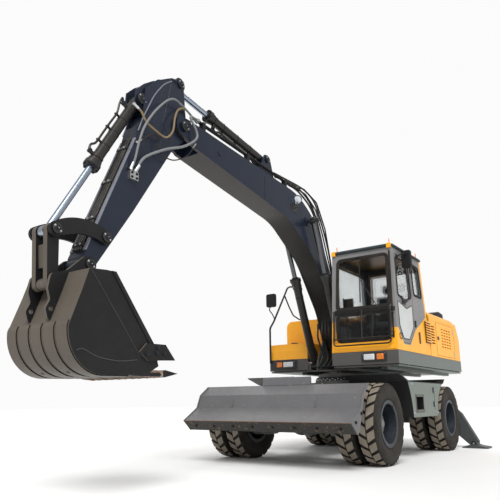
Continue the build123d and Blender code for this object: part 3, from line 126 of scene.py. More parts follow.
def add_cross_plate(bm, outline, x_low, x_high):
    """A plate with a (y, z) outline between two x values."""
    add_loft(bm, [[(x, y, z) for y, z in outline] for x in (x_low, x_high)])


def add_rod(bm, start, end, radius, slot=0, sides=16, end_radius=None):
    """A round or tapered rod between two points."""
    start, end = Vector(start), Vector(end)
    u, v = cross_frame(end - start)
    far_radius = radius if end_radius is None else end_radius
    add_loft(bm, [circle(start, u, v, radius, sides), circle(end, u, v, far_radius, sides)], slot)


def add_spin(bm, profile, centre, axis, slot=0, sides=48):
    """Spins a closed (along, radius) profile about an axis."""
    centre, axis = Vector(centre), Vector(axis).normalized()
    u, v = cross_frame(axis)
    loops = []
    for i in range(sides):
        out = u * math.cos(math.tau * i / sides) + v * math.sin(math.tau * i / sides)
        loops.append([bm.verts.new(centre + axis * along + out * r) for along, r in profile])
    for i in range(sides):
        near, far = loops[i], loops[(i + 1) % sides]
        for k in range(len(profile)):
            m = (k + 1) % len(profile)
            if profile[k][1] or profile[m][1]:
                corners = [near[k], near[m], far[m], far[k]]
                if profile[k][1] == 0:
                    corners = corners[:3]
                elif profile[m][1] == 0:
                    corners = [near[k], near[m], far[k]]
                bm.faces.new(corners).material_index = slot


def smooth_path(points, steps=6):
    """A soft curve through points, by the Catmull-Rom rule."""
    points = [Vector(p) for p in points]
    padded = [2 * points[0] - points[1]] + points + [2 * points[-1] - points[-2]]
    path = []
    for a, b, c, d in zip(padded, padded[1:], padded[2:], padded[3:]):
        for k in range(steps):
            t = k / steps
            path.append(0.5 * ((2 * b) + (c - a) * t + (2 * a - 5 * b + 4 * c - d) * t ** 2
                               + (3 * b - a - 3 * c + d) * t ** 3))
    return path + [points[-1]]


def add_hose(bm, points, radius, slot=0, sides=10, steps=6):
    """A round hose that runs softly through its points."""
    path = smooth_path(points, steps)
    u, _ = cross_frame(path[1] - path[0])
    rings = []
    for i, centre in enumerate(path):
        ahead = path[min(i + 1, len(path) - 1)] - path[max(i - 1, 0)]
        ahead.normalize()
        u = (u - ahead * u.dot(ahead)).normalized()
        rings.append(circle(centre, u, ahead.cross(u), radius, sides))
    add_loft(bm, rings, slot)


def add_bolt(bm, spot, direction, size, slot=0):
    """A hexagon head on its washer."""
    spot, direction = Vector(spot), Vector(direction).normalized()
    add_rod(bm, spot - direction * size * 0.2, spot + direction * size * 0.12, size * 0.72, slot, 12)
    add_rod(bm, spot, spot + direction * size * 0.55, size * 0.5, slot, 6)


def build(name, body, finishes, fill, *details, bevel=0.0, angle=35, replaced=()):
    """Makes a piece of what a function draws about the slewing centre.

    It rides on a body if one is given, and may stand for nodes of the frame."""
    bm = bmesh.new()
    fill(bm, *details)
    bmesh.ops.remove_doubles(bm, verts=bm.verts, dist=1e-5)
    bmesh.ops.recalc_face_normals(bm, faces=bm.faces)
    mesh = bpy.data.meshes.new(name)
    bm.to_mesh(mesh)
    bm.free()
    mesh.transform(Matrix.Translation(SHIFT))
    for finish in finishes:
        mesh.materials.append(FINISH[finish])
    mesh.shade_smooth()
    mesh.set_sharp_from_angle(angle=math.radians(angle))
    piece = bpy.data.objects.new(name, mesh)
    bpy.context.scene.collection.objects.link(piece)
    if bevel:
        edge = piece.modifiers.new("Rounded edges", "BEVEL")
        edge.width = bevel
        edge.segments = 2
        edge.limit_method = "ANGLE"
        edge.angle_limit = math.radians(angle)
        edge.harden_normals = True
    if body:
        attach(piece, body)
    if replaced:
        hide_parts(*replaced)
    return piece


# --- finishes -----------------------------------------------------------------------------
class Tree:
    """A material's node tree with short calls for what each finish needs."""

    def __init__(self, name):
        self.material = bpy.data.materials.new(name)
        self.material.use_nodes = True
        self.nodes = self.material.node_tree.nodes
        self.links = self.material.node_tree.links
        self.shader = self.nodes["Principled BSDF"]
        self.place = self.add("ShaderNodeTexCoord").outputs["Object"]

    def add(self, kind, settings=None, **sockets):
        """A node with its settings, and its inputs set or linked by name."""
        node = self.nodes.new(kind)
        for key, value in (settings or {}).items():
            setattr(node, key, value)
        for key, value in sockets.items():
            self.put(node.inputs[key.replace("_", " ")], value)
        return node

    def put(self, socket, value):
        """Sets a socket, or links it to another node's output."""
        if isinstance(value, bpy.types.NodeSocket):
            self.links.new(value, socket)
        else:
            socket.default_value = value

    def shape(self, **sockets):
        """Sets or links the shader's own sockets by name."""
        for key, value in sockets.items():
            self.put(self.shader.inputs[key.replace("_", " ")], value)

    def noise(self, scale, detail=4.0, roughness=0.55):
        """A noise value between 0 and 1 over the surface."""
        node = self.add("ShaderNodeTexNoise", Vector=self.place, Scale=scale, Detail=detail,
                        Roughness=roughness)
        return node.outputs["Fac"]

    def ramp(self, value, low, high, start=0.0, end=1.0):
        """A value remapped from low..high to start..end and held there."""
        node = self.add("ShaderNodeMapRange", Value=value, From_Min=low, From_Max=high,
                        To_Min=start, To_Max=end)
        return node.outputs["Result"]

    def pair(self, kind, settings, first, second):
        """A node whose first two inputs are set or linked."""
        node = self.add(kind, settings)
        self.put(node.inputs[0], first)
        self.put(node.inputs[1], second)
        return node

    def math(self, operation, first, second, clamp=True):
        """Two values put together, held between 0 and 1 unless told otherwise."""
        settings = {"operation": operation, "use_clamp": clamp}
        return self.pair("ShaderNodeMath", settings, first, second).outputs[0]

    def blend(self, factor, first, second):
        """Two colours blended by a factor."""
        node = self.add("ShaderNodeMix", {"data_type": "RGBA"})
        self.put(node.inputs["Factor"], factor)
        self.put(node.inputs[6], first)
        self.put(node.inputs[7], second)
        return node.outputs[2]

    def facing(self, axis, low, high, both=False):
        """How far the surface faces along an axis of the machine, from 0 to 1."""
        normal = self.add("ShaderNodeTexCoord").outputs["Normal"]
        part = self.add("ShaderNodeSeparateXYZ", Vector=normal).outputs[axis]
        if both:
            part = self.math("ABSOLUTE", part, 0.0)
        return self.ramp(part, low, high)

    def upward(self):
        """How far the surface faces up, from 0 to 1."""
        return self.facing("Z", 0.1, 0.9)

    def within(self, walls, depth):
        """1 for a place deeper than a depth behind every wall, each an outward normal and a reach."""
        gaps = []
        for normal, reach in walls:
            dot = self.pair("ShaderNodeVectorMath", {"operation": "DOT_PRODUCT"}, self.place, normal)
            gaps.append(self.math("SUBTRACT", reach, dot.outputs["Value"], clamp=False))
        gap = gaps[0]
        for other in gaps[1:]:
            gap = self.math("MINIMUM", gap, other, clamp=False)
        return self.ramp(gap, depth, depth + 0.002)

    def height(self, low, high):
        """1 at a low height, fading to 0 at a high one."""
        parts = self.add("ShaderNodeSeparateXYZ", Vector=self.place)
        return self.ramp(parts.outputs["Z"], low, high, 1.0, 0.0)

    def bump(self, value, strength, distance):
        """Roughens the surface with a height value."""
        node = self.add("ShaderNodeBump", Height=value, Strength=strength, Distance=distance)
        self.links.new(node.outputs["Normal"], self.shader.inputs["Normal"])


def shade(colour, factor):
    """A colour made darker or lighter."""
    return tuple(min(1.0, c * factor) for c in colour[:3]) + (1.0,)


DUST = (0.30, 0.25, 0.19, 1.0)
FRESH_RUST = (0.24, 0.09, 0.03, 1.0)
OLD_RUST = (0.10, 0.05, 0.03, 1.0)
PRIMER = (0.16, 0.10, 0.07, 1.0)


def paint(name, colour, roughness=0.38, dust=0.05, grime=0.0, coat=0.1, chips=0.0, chip_colour=None,
          below=None, flank=None, above=None, inside=None, shine=0.3):
    """Machine enamel with slight fading, dust on upward faces and grime low down.

    Below and flank are painted light and shade: colours of faces that look down or look sideways;
    above is the colour of faces that lie high; inside is a painted shade colour with the walls that it lies
    behind."""
    tree = Tree(name)
    colour = tuple(colour[:3]) + (1.0,)
    faded = tree.ramp(tree.noise(2.2, 5.0), 0.35, 0.7)
    surface = tree.blend(faded, shade(colour, 0.93), shade(colour, 1.06))
    # painted light and shade on faces that look sideways
    if flank:
        surface = tree.blend(tree.facing("Y", 0.75, 0.85, both=True), surface, flank)
    # painted light and shade on faces that look down
    if below:
        surface = tree.blend(tree.facing("Z", -0.35, -0.25), below, surface)
    # faces over a height get their own colour, laid over the painted side colours
    if above:
        surface = tree.blend(tree.height(above[0] - 0.002, above[0]), above[1], surface)
    # painted shade on faces that lie behind the cab's walls
    if inside:
        surface = tree.blend(tree.within(inside[0], inside[1]), surface, inside[2])
    fine = tree.noise(38.0, 6.0, 0.65)
    dusty = tree.math("MULTIPLY", tree.ramp(tree.noise(6.0, 6.0, 0.7), 0.4, 0.75),
                      tree.math("MULTIPLY", tree.ramp(tree.upward(), 0.0, 1.0, 0.15, 1.0), dust * 2))
    surface = tree.blend(dusty, surface, DUST)
    if grime:
        low = tree.math("MULTIPLY", tree.height(0.35, 1.3), tree.ramp(fine, 0.38, 0.62))
        surface = tree.blend(tree.math("MULTIPLY", low, grime), surface, shade(DUST, 0.8))
    if chips:
        worn = tree.ramp(tree.noise(24.0, 8.0, 0.75), 0.66 - chips * 0.1, 0.68 - chips * 0.1)
        surface = tree.blend(worn, surface, chip_colour or PRIMER)
    tree.shape(Base_Color=surface, Roughness=tree.ramp(fine, 0.3, 0.7, roughness - 0.06, roughness + 0.1),
               Specular_IOR_Level=shine, Coat_Weight=coat, Coat_Roughness=0.12)
    tree.bump(tree.noise(160.0, 3.0), 0.05, 0.002)
    return tree.material


def bare_metal(name, colour, roughness, bump=0.0, scale=60.0, rust=0.0):
    """Bare or plated metal, with fine marks and some rust."""
    tree = Tree(name)
    fine = tree.noise(scale, 6.0, 0.6)
    surface = tree.blend(fine, shade(colour, 0.8), shade(colour, 1.1))
    if rust:
        brown = tree.blend(tree.noise(30.0, 6.0), FRESH_RUST, OLD_RUST)
        surface = tree.blend(tree.ramp(tree.noise(9.0, 8.0, 0.7), 0.5 - rust * 0.3, 0.62), surface, brown)
    tree.shape(Base_Color=surface, Metallic=0.5 if rust else 1.0,
               Roughness=tree.ramp(fine, 0.3, 0.7, roughness * 0.8, roughness * 1.3))
    if bump:
        tree.bump(fine, bump, 0.003)
    return tree.material


def rubber(name, colour, dust=0.4, roughness=0.75, dust_colour=DUST):
    """Rubber with dust in its texture."""
    tree = Tree(name)
    fine = tree.noise(45.0, 7.0, 0.7)
    cloud = tree.ramp(tree.noise(5.0, 6.0, 0.65), 0.3, 0.72)
    surface = tree.blend(fine, shade(colour, 0.75), shade(colour, 1.25))
    surface = tree.blend(tree.math("MULTIPLY", cloud, dust), surface, dust_colour)
    tree.shape(Base_Color=surface, Roughness=tree.ramp(fine, 0.3, 0.7, roughness - 0.08, roughness + 0.1),
               Specular_IOR_Level=0.2)
    tree.bump(tree.noise(220.0, 3.0), 0.12, 0.002)
    return tree.material


def plain_plastic(name, colour):
    """Moulded plastic with a fine grain."""
    tree = Tree(name)
    fine = tree.noise(300.0, 2.0)
    tree.shape(Base_Color=tree.blend(tree.noise(8.0), shade(colour, 0.9), shade(colour, 1.1)),
               Roughness=tree.ramp(fine, 0.3, 0.7, 0.45, 0.58))
    tree.bump(fine, 0.15, 0.001)
    return tree.material


def window_glass(name, tint):
    """Thin tinted glass with faint dirt in patches."""
    tree = Tree(name)
    dirt = tree.ramp(tree.noise(3.0, 5.0), 0.4, 0.8, 0.0, 0.25)
    tree.shape(Base_Color=tree.blend(dirt, tuple(tint) + (1.0,), DUST),
               Roughness=tree.ramp(tree.noise(7.0, 5.0), 0.4, 0.8, 0.02, 0.12),
               Transmission_Weight=1.0, IOR=1.08, Specular_IOR_Level=1.0, Alpha=0.32)
    return tree.material


def lens(name, colour):
    """A ribbed lamp lens."""
    tree = Tree(name)
    ribs = tree.add("ShaderNodeTexWave", Vector=tree.place, Scale=60.0).outputs["Fac"]
    tree.shape(Base_Color=tree.blend(ribs, shade(colour, 0.75), shade(colour, 1.1)), Roughness=0.12,
               Coat_Weight=0.8)
    tree.bump(ribs, 0.3, 0.002)
    return tree.material


def woven(name, colour):
    """Seat cloth with a crossed weave."""
    tree = Tree(name)
    warp = tree.add("ShaderNodeTexWave", {"bands_direction": "X"}, Vector=tree.place, Scale=160.0)
    weft = tree.add("ShaderNodeTexWave", {"bands_direction": "Z"}, Vector=tree.place, Scale=160.0)
    cloth = tree.math("MULTIPLY", warp.outputs["Fac"], weft.outputs["Fac"])
    tree.shape(Base_Color=tree.blend(cloth, shade(colour, 0.7), shade(colour, 1.2)),
               Roughness=tree.ramp(cloth, 0.0, 1.0, 0.85, 0.95), Sheen_Weight=0.3)
    tree.bump(cloth, 0.4, 0.001)
    return tree.material


CAB_LOW = node_box("skirts")[1][2]    # foot and roof of the cab
CAB_HIGH = node_box("cab_frame")[1][2]
# the way each wall faces, where it is at the cab's foot, and how far it moves by the roof
CAB_SIDES = {"front": (1, 1.094, -0.120), "rear": (-1, -0.330, 0.090), "left": (1, 1.227, -0.045),
             "right": (-1, 0.240, 0.010)}


def wall_planes():
    """An outward normal and a reach for each wall of the cab."""
    planes = []
    for wall, (away, foot, lean) in CAB_SIDES.items():
        slope = -away * lean / (CAB_HIGH - CAB_LOW)
        if wall in ("front", "rear"):
            planes.append(((away, 0.0, slope), away * (foot + SLEW_X) + slope * CAB_LOW))
        else:
            planes.append(((0.0, away, slope), away * foot + slope * CAB_LOW))
    return planes


# the cab's walls, the depth where its inside begins, and the inside's painted shade colour
CAB_INSIDE_SHADE = (wall_planes(), 0.022, (0.030, 0.034, 0.038, 1.0))


def make_finishes(colours):
    """All finishes by name, from the colours in the panel."""
    return {
        "yellow": paint("yellow enamel", colours.body, 0.34, 0.05, coat=0.3, shine=0.4),
        # the sill's faces inside the cab get a painted shade colour
        "sill": paint("cab sill enamel", colours.body, 0.34, 0.05, coat=0.3, shine=0.4, inside=CAB_INSIDE_SHADE),
        # the boom's downward faces get a lighter brown-grey: painted light from below
        "navy": paint("boom enamel", colours.boom, 0.32, 0.03, below=(0.026, 0.0235, 0.022, 1.0), shine=0.22),
        "arm": paint("arm enamel", colours.arm, 0.34, 0.03, shine=0.25),
        # edge strips: a light blue-grey that stands for painted sheen on the arm's plate edges
        "strip": paint("edge strips", (0.16, 0.17, 0.20), 0.3, 0.05, shine=0.4),
        # painted shade on the cab frame's and the roof's faces inside the cab
        "cab": paint("cab enamel", colours.cab, 0.38, 0.04, inside=CAB_INSIDE_SHADE),
        "roof": paint("roof enamel", colours.roof, 0.45, 0.08, inside=CAB_INSIDE_SHADE),
        # pale: a painted reflection on the door's lower pane and a painted highlight on the slew ring's bolts
        "pale": paint("pale painted reflection and highlight", (0.52, 0.54, 0.53), 0.3, 0.03, coat=0.3),
        # painted light: downward faces get a pale green-grey, sideways faces a lighter grey
        "skirt": paint("skirt enamel", colours.skirt, 0.45, 0.06, below=(0.16, 0.21, 0.185, 1.0),
                       flank=(0.125, 0.140, 0.132, 1.0)),
        "chassis": paint("chassis enamel", colours.chassis, 0.5, 0.15, 0.3, 0.05, chips=0.1),
        # painted light: sideways faces of the black step boxes get a pale green-grey; faces over 1.032 m keep
        # the black
        "box": paint("box enamel", (0.014, 0.014, 0.015), 0.45, 0.04, 0.0, 0.05,
                     flank=(0.155, 0.18, 0.155, 1.0), above=(1.032, (0.014, 0.014, 0.015, 1.0))),
        "blade": paint("blade enamel", colours.blade, 0.42, 0.08, 0.1, 0.05, chips=0.12,
                       chip_colour=(0.42, 0.36, 0.28, 1.0)),
        "lip": paint("worn lip", (0.026, 0.025, 0.023), 0.55, 0.0, 0.0, 0.0, chips=0.75,
                     chip_colour=(0.22, 0.11, 0.04, 1.0)),
        "rim": paint("rim enamel", colours.rim, 0.4, 0.03, 0.06, 0.1, shine=0.2),
        "hub": paint("hub enamel", (0.16, 0.165, 0.16), 0.4, 0.1, 0.1, 0.1),
        "dark": paint("stabiliser enamel", (0.045, 0.052, 0.056), 0.45, 0.06, 0.1, 0.05, chips=0.2,
                      chip_colour=(0.20, 0.13, 0.08, 1.0)),
        "roller": paint("pin bush enamel", colours.bucket, 0.4, 0.05),
        "black": paint("black enamel", (0.017, 0.016, 0.015), 0.32, 0.03, coat=0.1, shine=0.3),
        "soot": paint("black sheet", (0.012, 0.012, 0.013), 0.5, 0.05, 0.05, coat=0.0, shine=0.2),
        # painted shade: sideways faces get near black, against the brown-grey of the others
        "bucket": paint("bucket enamel", colours.bucket, 0.45, 0.06, coat=0.05,
                        flank=(0.010, 0.010, 0.011, 1.0), shine=0.2),
        "worn": bare_metal("worn steel", (0.36, 0.30, 0.25), 0.5, 0.3, 40.0, rust=0.25),
        # real weld seams in a lighter grey that is partly a painted highlight
        "ridge": paint("welded ridges with painted highlight", (0.045, 0.048, 0.055), 0.35, 0.0, shine=0.4),
        "rusty": bare_metal("rusty steel", (0.30, 0.22, 0.16), 0.65, 0.5, 30.0, rust=0.9),
        # its blue tint is a painted reflection; the grey under it is the chrome's own
        "chrome": bare_metal("hard chrome with painted blue reflection", (0.34, 0.39, 0.47), 0.27),
        "dull": bare_metal("oiled rod", (0.13, 0.135, 0.14), 0.33),
        "silver": bare_metal("mirror silver", (0.85, 0.87, 0.88), 0.04),
        "steel": bare_metal("zinc plate", (0.55, 0.56, 0.56), 0.35, 0.1),
        "cast": paint("cast iron", (0.014, 0.016, 0.020), 0.5, 0.05, 0.0, 0.0, shine=0.2),
        "tyre": rubber("tyre rubber", (0.012, 0.011, 0.010), 0.09, 0.7),
        "tread": rubber("tread rubber", (0.010, 0.009, 0.008), 0.08, 0.8),
        "tread_top": rubber("worn tread", (0.17, 0.145, 0.115), 0.5, 0.8, (0.36, 0.31, 0.25, 1.0)),
        "hose": rubber("black hose", (0.012, 0.012, 0.013), 0.12, 0.45),
        "gasket": rubber("window gasket", (0.008, 0.008, 0.008), 0.1, 0.6),
        "grey_hose": rubber("grey hose", (0.17, 0.18, 0.19), 0.15, 0.4),
        "tan_hose": rubber("tan hose", (0.19, 0.14, 0.07), 0.15, 0.5),
        "plastic": plain_plastic("black plastic", (0.018, 0.018, 0.02)),
        "trim": plain_plastic("grey plastic", (0.12, 0.12, 0.125)),
        "cloth": woven("seat cloth", (0.03, 0.032, 0.038)),
        "glass": window_glass("cab glass", (0.72, 0.80, 0.80)),
        "amber": lens("amber lens", (0.9, 0.22, 0.01)),
        "lamp_red": lens("red lens", (0.55, 0.01, 0.008)),
        "clear": lens("clear lens", (0.75, 0.77, 0.8)),
    }


FINISH = {}                           # finishes by name, made by the first operator
# the frame's nodes that each finish goes on
NODE_FINISH = {
    "yellow": ["counterweight", "engine_cover", "fuel_tank", "pump_door", "radiator_door", "hood_lid"],
    "sill": ["cab_sill"],
    "box": ["step_boxes"],
    "navy": ["boom"],
    "soot": ["boom_pipes", "mirror_left", "mirror_right", "rockers"],
    "arm": ["arm"],
    "cab": ["cab_frame", "cab_door"],
    "roof": ["cab_roof"],
    "skirt": ["skirts", "deck_frame"],
    "chassis": ["chassis_frame", "blade_brackets", "outrigger", "axles", "knuckle_left",
                "knuckle_right", "tie_rod"],
    "blade": ["blade"],
    "rim": ["rims_front_left", "rims_front_right", "rims_rear_left", "rims_rear_right"],
    "cast": ["slew_ring", "engine_block"],
    "black": ["boom_cylinder_barrels", "arm_cylinder_barrel", "bucket_cylinder_barrel",
              "blade_cylinder_barrels", "stabiliser_barrel_left", "stabiliser_barrel_right",
              "windshield_guard", "handrail"],
    "dull": ["boom_cylinder_rods"],
    "chrome": ["arm_cylinder_rod", "bucket_cylinder_rod", "blade_cylinder_rods",
               "stabiliser_rod_left", "stabiliser_rod_right"],
    "bucket": ["bucket", "h_link"],
    "dark": ["stabiliser_left", "stabiliser_right"],
    "glass": ["cab_glass", "door_glass"],
    "cloth": ["seat"],
    "plastic": ["console"],
    "tyre": ["tyres_front_left", "tyres_front_right", "tyres_rear_left", "tyres_rear_right"],
}


# --- settings -----------------------------------------------------------------------------
def colour_property(name, description, default):
    """A colour setting for the panel."""
    return FloatVectorProperty(name=name, description=description, subtype="COLOR", size=3,
                               min=0.0, max=1.0, default=default)


class ExcavatorColours(bpy.types.PropertyGroup):
    """Colours of the machine's paints."""

    body: colour_property("Body", "Enamel of the hoods and the tank", (0.95, 0.41, 0.012))
    boom: colour_property("Boom", "Enamel of the boom", (0.008, 0.013, 0.027))
    arm: colour_property("Arm", "Enamel of the arm", (0.011, 0.016, 0.030))
    cab: colour_property("Cab", "Enamel of the cab frame and door", (0.20, 0.195, 0.195))
    roof: colour_property("Roof", "Enamel of the cab roof", (0.022, 0.050, 0.058))
    skirt: colour_property("Skirt", "Enamel of the deck skirts", (0.082, 0.077, 0.074))
    chassis: colour_property("Chassis", "Enamel of the undercarriage", (0.085, 0.092, 0.085))
    blade: colour_property("Blade", "Enamel of the blade", (0.112, 0.113, 0.120))
    rim: colour_property("Rim", "Enamel of the wheel rims", (0.018, 0.024, 0.034))
    bucket: colour_property("Bucket", "Enamel of the bucket", (0.098, 0.083, 0.067))


class ExcavatorSizes(bpy.types.PropertyGroup):
    """Sizes of the fine pieces."""

    tread_height: FloatProperty(name="Tread height", description="How far the tread blocks stand out",
                                unit="LENGTH", default=0.022, min=0.005, max=0.03)
    tread_blocks: IntProperty(name="Tread blocks", description="Blocks in one row round a tyre",
                              default=21, min=12, max=60)
    bolt: FloatProperty(name="Bolt", description="Width of a common bolt head", unit="LENGTH",
                        default=0.030, min=0.01, max=0.08)
    hose: FloatProperty(name="Hose", description="Radius of a common hydraulic hose", unit="LENGTH",
                        default=0.014, min=0.005, max=0.04)


# --- frame and wheels ---------------------------------------------------------------------
class EXCAVATOR_OT_finish_frame(bpy.types.Operator):
    """Make the finishes and put them on the frame's own nodes"""

    bl_idname = "excavator.finish_frame"
    bl_label = "Frame Finishes"

    def execute(self, context):
        FINISH.update(make_finishes(context.scene.excavator_colours))
        for finish, nodes in NODE_FINISH.items():
            for node in nodes:
                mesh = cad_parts[node].data
                mesh.materials.clear()
                mesh.materials.append(FINISH[finish])
        return {"FINISHED"}


TYRES_LOW, TYRES_HIGH = node_box("tyres_front_left")
TYRE_R = TYRES_HIGH[2] / 2
TYRE_W = 0.255
WORN_TOP = 0.009                      # depth of the tread that dust turns pale
TWIN_MIDDLE = middle("tyres_front_left")[1]                                  # from the centre plane
TWINS = (TYRES_HIGH[1] - TYRE_W / 2, TYRES_LOW[1] + TYRE_W / 2)              # outer and inner tyre
HUB_FACE = TWIN_MIDDLE + 0.128
DISC_FACE = TWIN_MIDDLE + 0.028       # the rim's bolted disc
WHEEL_NUTS = 10
AXLES = {"front": middle("tyres_front_left")[0], "rear": middle("tyres_rear_left")[0]}
HANDS = {"left": 1, "right": -1}
WHEELS = [(f"{end}_{hand}", x, side) for end, x in AXLES.items() for hand, side in HANDS.items()]
# across, lead along the tyre, drop of the top and width of a tread block, from the middle outwards
BLOCK = ((0.006, 0.30, 0.0, 0.80), (0.055, 0.10, 0.0, 0.78), (0.102, -0.10, 0.004, 0.74),
         (0.119, -0.15, 0.034, 0.66))


def tyre_profile(height):
    """Outline of a tyre's wall, as (across, radius)."""
    crown = TYRE_R - height
    half = [(0.094, 0.262), (0.096, 0.296), (0.104, 0.302), (0.112, 0.318), (0.121, 0.342),
            (0.1265, 0.375), (0.1275, 0.405), (0.125, 0.432), (0.119, 0.452), (0.112, crown - 0.008),
            (0.100, crown)]
    hollow = [(0.075, 0.262), (0.085, 0.33), (0.10, 0.40), (0.085, 0.45)]
    return ([(-y, r) for y, r in half] + half[::-1] + hollow + [(-y, r) for y, r in hollow[::-1]])


def add_tread(bm, x, y, height, count):
    """Two rows of slanted blocks round a tyre, meeting in a chevron."""
    crown = TYRE_R - height - 0.002
    pitch = math.tau / count
    for row in (1, -1):
        for i in range(count):
            turn = math.tau * (i + (0.5 if row < 0 else 0.0)) / count
            rings = []
            for across, lead, drop, width in BLOCK:
                ring = []
                for side, r in ((-1, crown - drop - 0.004), (1, crown - drop - 0.004),
                                (1, TYRE_R - drop), (-1, TYRE_R - drop)):
                    slack = 0.9 if r > crown - drop else 1.0
                    a = turn + pitch * (lead + side * width / 2 * slack)
                    ring.append((x + r * math.sin(a), y + row * across, TYRE_R + r * math.cos(a)))
                rings.append(ring)
            add_loft(bm, rings, 1)


def add_twin_tyres(bm, x, side, height, count):
    """Both tyres of a twin wheel, the tops of their blocks in the third finish."""
    for centre in TWINS:
        add_spin(bm, tyre_profile(height), (x, side * centre, TYRE_R), (0, 1, 0), 0, 72)
        add_tread(bm, x, side * centre, height, count)
    for face in bm.faces:
        spot = face.calc_center_median()
        reach = math.hypot(spot.x - x, spot.z - TYRE_R)
        if face.material_index == 1 and reach > TYRE_R - WORN_TOP:
            face.material_index = 2


class EXCAVATOR_OT_tyres(bpy.types.Operator):
    """Add the treaded twin tyres"""

    bl_idname = "excavator.tyres"
    bl_label = "Tyres"

    def execute(self, context):
        sizes = context.scene.excavator_sizes
        for wheel, x, side in WHEELS:
            build(f"treaded_tyres_{wheel}", f"wheel_{wheel}", ("tyre", "tread", "tread_top"),
                  add_twin_tyres, x, side, sizes.tread_height, sizes.tread_blocks,
                  angle=32, replaced=[f"tyres_{wheel}"])
        return {"FINISHED"}


def add_wheel_fittings(bm, x, side, bolt):
    """The nuts, hub cover, lock ring and valve of a twin wheel."""
    out = Vector((0, side, 0))
    for radius, face, size, slot in ((0.186, DISC_FACE, bolt * 1.1, 1), (0.100, HUB_FACE, bolt * 0.9, 3)):
        for i in range(WHEEL_NUTS):
            a = math.tau * i / WHEEL_NUTS
            spot = (x + radius * math.cos(a), side * face, TYRE_R + radius * math.sin(a))
            add_bolt(bm, spot, out, size, slot)
    hub = (x, side * HUB_FACE, TYRE_R)
    add_spin(bm, [(-0.03, 0.136), (0.0, 0.136), (0.008, 0.128), (0.012, 0.10), (0.014, 0.058),
                  (0.040, 0.052), (0.046, 0.044), (0.046, 0.0)], hub, out, 3, 40)
    rim = (x, side * (TWINS[0] + TYRE_W / 2 - 0.034), TYRE_R)
    add_spin(bm, [(-0.004, 0.250), (0.010, 0.252), (0.016, 0.268), (0.016, 0.284),
                  (0.008, 0.292), (0.0, 0.284), (-0.004, 0.262)], rim, out, 0, 64)
    add_spin(bm, [(-0.10, 0.240), (-0.006, 0.246), (-0.006, 0.252), (-0.10, 0.246)], rim, out, 0, 64)
    valve = Vector((x - 0.12, side * (TWINS[0] + 0.05), TYRE_R + 0.205))
    add_rod(bm, valve, valve + out * 0.075, 0.006, 1, 8)
    add_rod(bm, valve + out * 0.055, valve + out * 0.08, 0.009, 2, 8)


class EXCAVATOR_OT_wheel_fittings(bpy.types.Operator):
    """Add the wheel nuts, hub covers, lock rings and valves"""

    bl_idname = "excavator.wheel_fittings"
    bl_label = "Wheel Fittings"

    def execute(self, context):
        bolt = context.scene.excavator_sizes.bolt
        for wheel, x, side in WHEELS:
            build(f"wheel_fittings_{wheel}", f"wheel_{wheel}", ("rim", "cast", "plastic", "hub"),
                  add_wheel_fittings, x, side, bolt, bevel=0.0015)
        return {"FINISHED"}


# --- cab ----------------------------------------------------------------------------------
OUTWARD = {"front": (1, 0, 0.08), "rear": (-1, 0, 0.06), "left": (0, 1, 0.03), "right": (0, -1, 0)}
WINDOWS = (
    ("front", [(0.330, 2.080), (1.130, 2.080), (1.110, 2.830), (0.345, 2.830)], 0.06),
    ("front", [(0.345, 1.610), (1.120, 1.610), (1.125, 1.990), (0.335, 1.990)], 0.06),
    ("rear", [(0.340, 2.140), (1.120, 2.140), (1.100, 2.790), (0.355, 2.790)], 0.06),
    ("left", [(0.215, 2.330), (0.225, 2.820), (-0.095, 2.800), (-0.130, 2.330)], 0.05),
    ("right", [(0.880, 1.900), (0.860, 2.790), (-0.090, 2.790), (-0.120, 2.050), (0.200, 1.900)], 0.06),
)
PILLAR_STRIP = ((1.163, 1.62), (1.186, 1.62), (1.158, 2.87), (1.136, 2.87))
DOOR_WINDOW = [(0.900, 2.240), (0.880, 2.790), (0.370, 2.790), (0.350, 2.270), (0.620, 2.180)]
DOOR_OUTLINE = [(0.985, 1.790), (0.840, 1.565), (0.580, 1.565), (0.310, 1.800), (0.280, 2.300),
                (0.300, 2.850), (0.905, 2.850)]
# outline of the door's lower pane, drawn as a pale plate whose colour is a painted reflection
DOOR_LOWER_PANE = [(0.935, 1.800), (0.822, 1.625), (0.600, 1.625), (0.372, 1.825), (0.352, 2.150),
              (0.600, 2.070), (0.930, 2.150)]
GUARD_FOOT = (1.124, 1.640)           # (x, z) of the guard's lower and upper tubes
GUARD_HEAD = (1.089, 2.040)
GUARD_SIDES = (0.30, 1.15)
GUARD_COLUMNS, GUARD_ROWS = 34, 16    # spaces between the guard's wires
WIRE_R = 0.0016
CORNER_STEPS = 5                      # parts of a rounded corner


def cab_wall(wall, z, out=0.0):
    """Where a leaning wall of the cab is at a height, moved outwards."""
    away, foot, lean = CAB_SIDES[wall]
    return foot + lean * (z - CAB_LOW) / (CAB_HIGH - CAB_LOW) + away * out


def on_wall(wall, along, z, out=0.0):
    """A point on a cab wall, from its place along the wall and its height."""
    level = cab_wall(wall, z, out)
    return Vector((level, along, z)) if wall in ("front", "rear") else Vector((along, level, z))


def rounded(outline, radius):
    """A flat outline with its corners rounded, as a list of points."""
    points = []
    count = len(outline)
    for i, corner in enumerate(outline):
        corner = Vector(corner)
        before, after = Vector(outline[i - 1]), Vector(outline[(i + 1) % count])
        reach = min(radius, (before - corner).length * 0.45, (after - corner).length * 0.45)
        start = corner + (before - corner).normalized() * reach
        end = corner + (after - corner).normalized() * reach
        for k in range(CORNER_STEPS + 1):
            t = k / CORNER_STEPS
            points.append(start.lerp(corner, t).lerp(corner.lerp(end, t), t))
    return points


def add_wall_panel(bm, wall, outline, low, high, slot=0):
    """A plate with an outline on a cab wall, between two distances from it."""
    add_loft(bm, [[on_wall(wall, along, z, out) for along, z in outline] for out in (low, high)], slot)


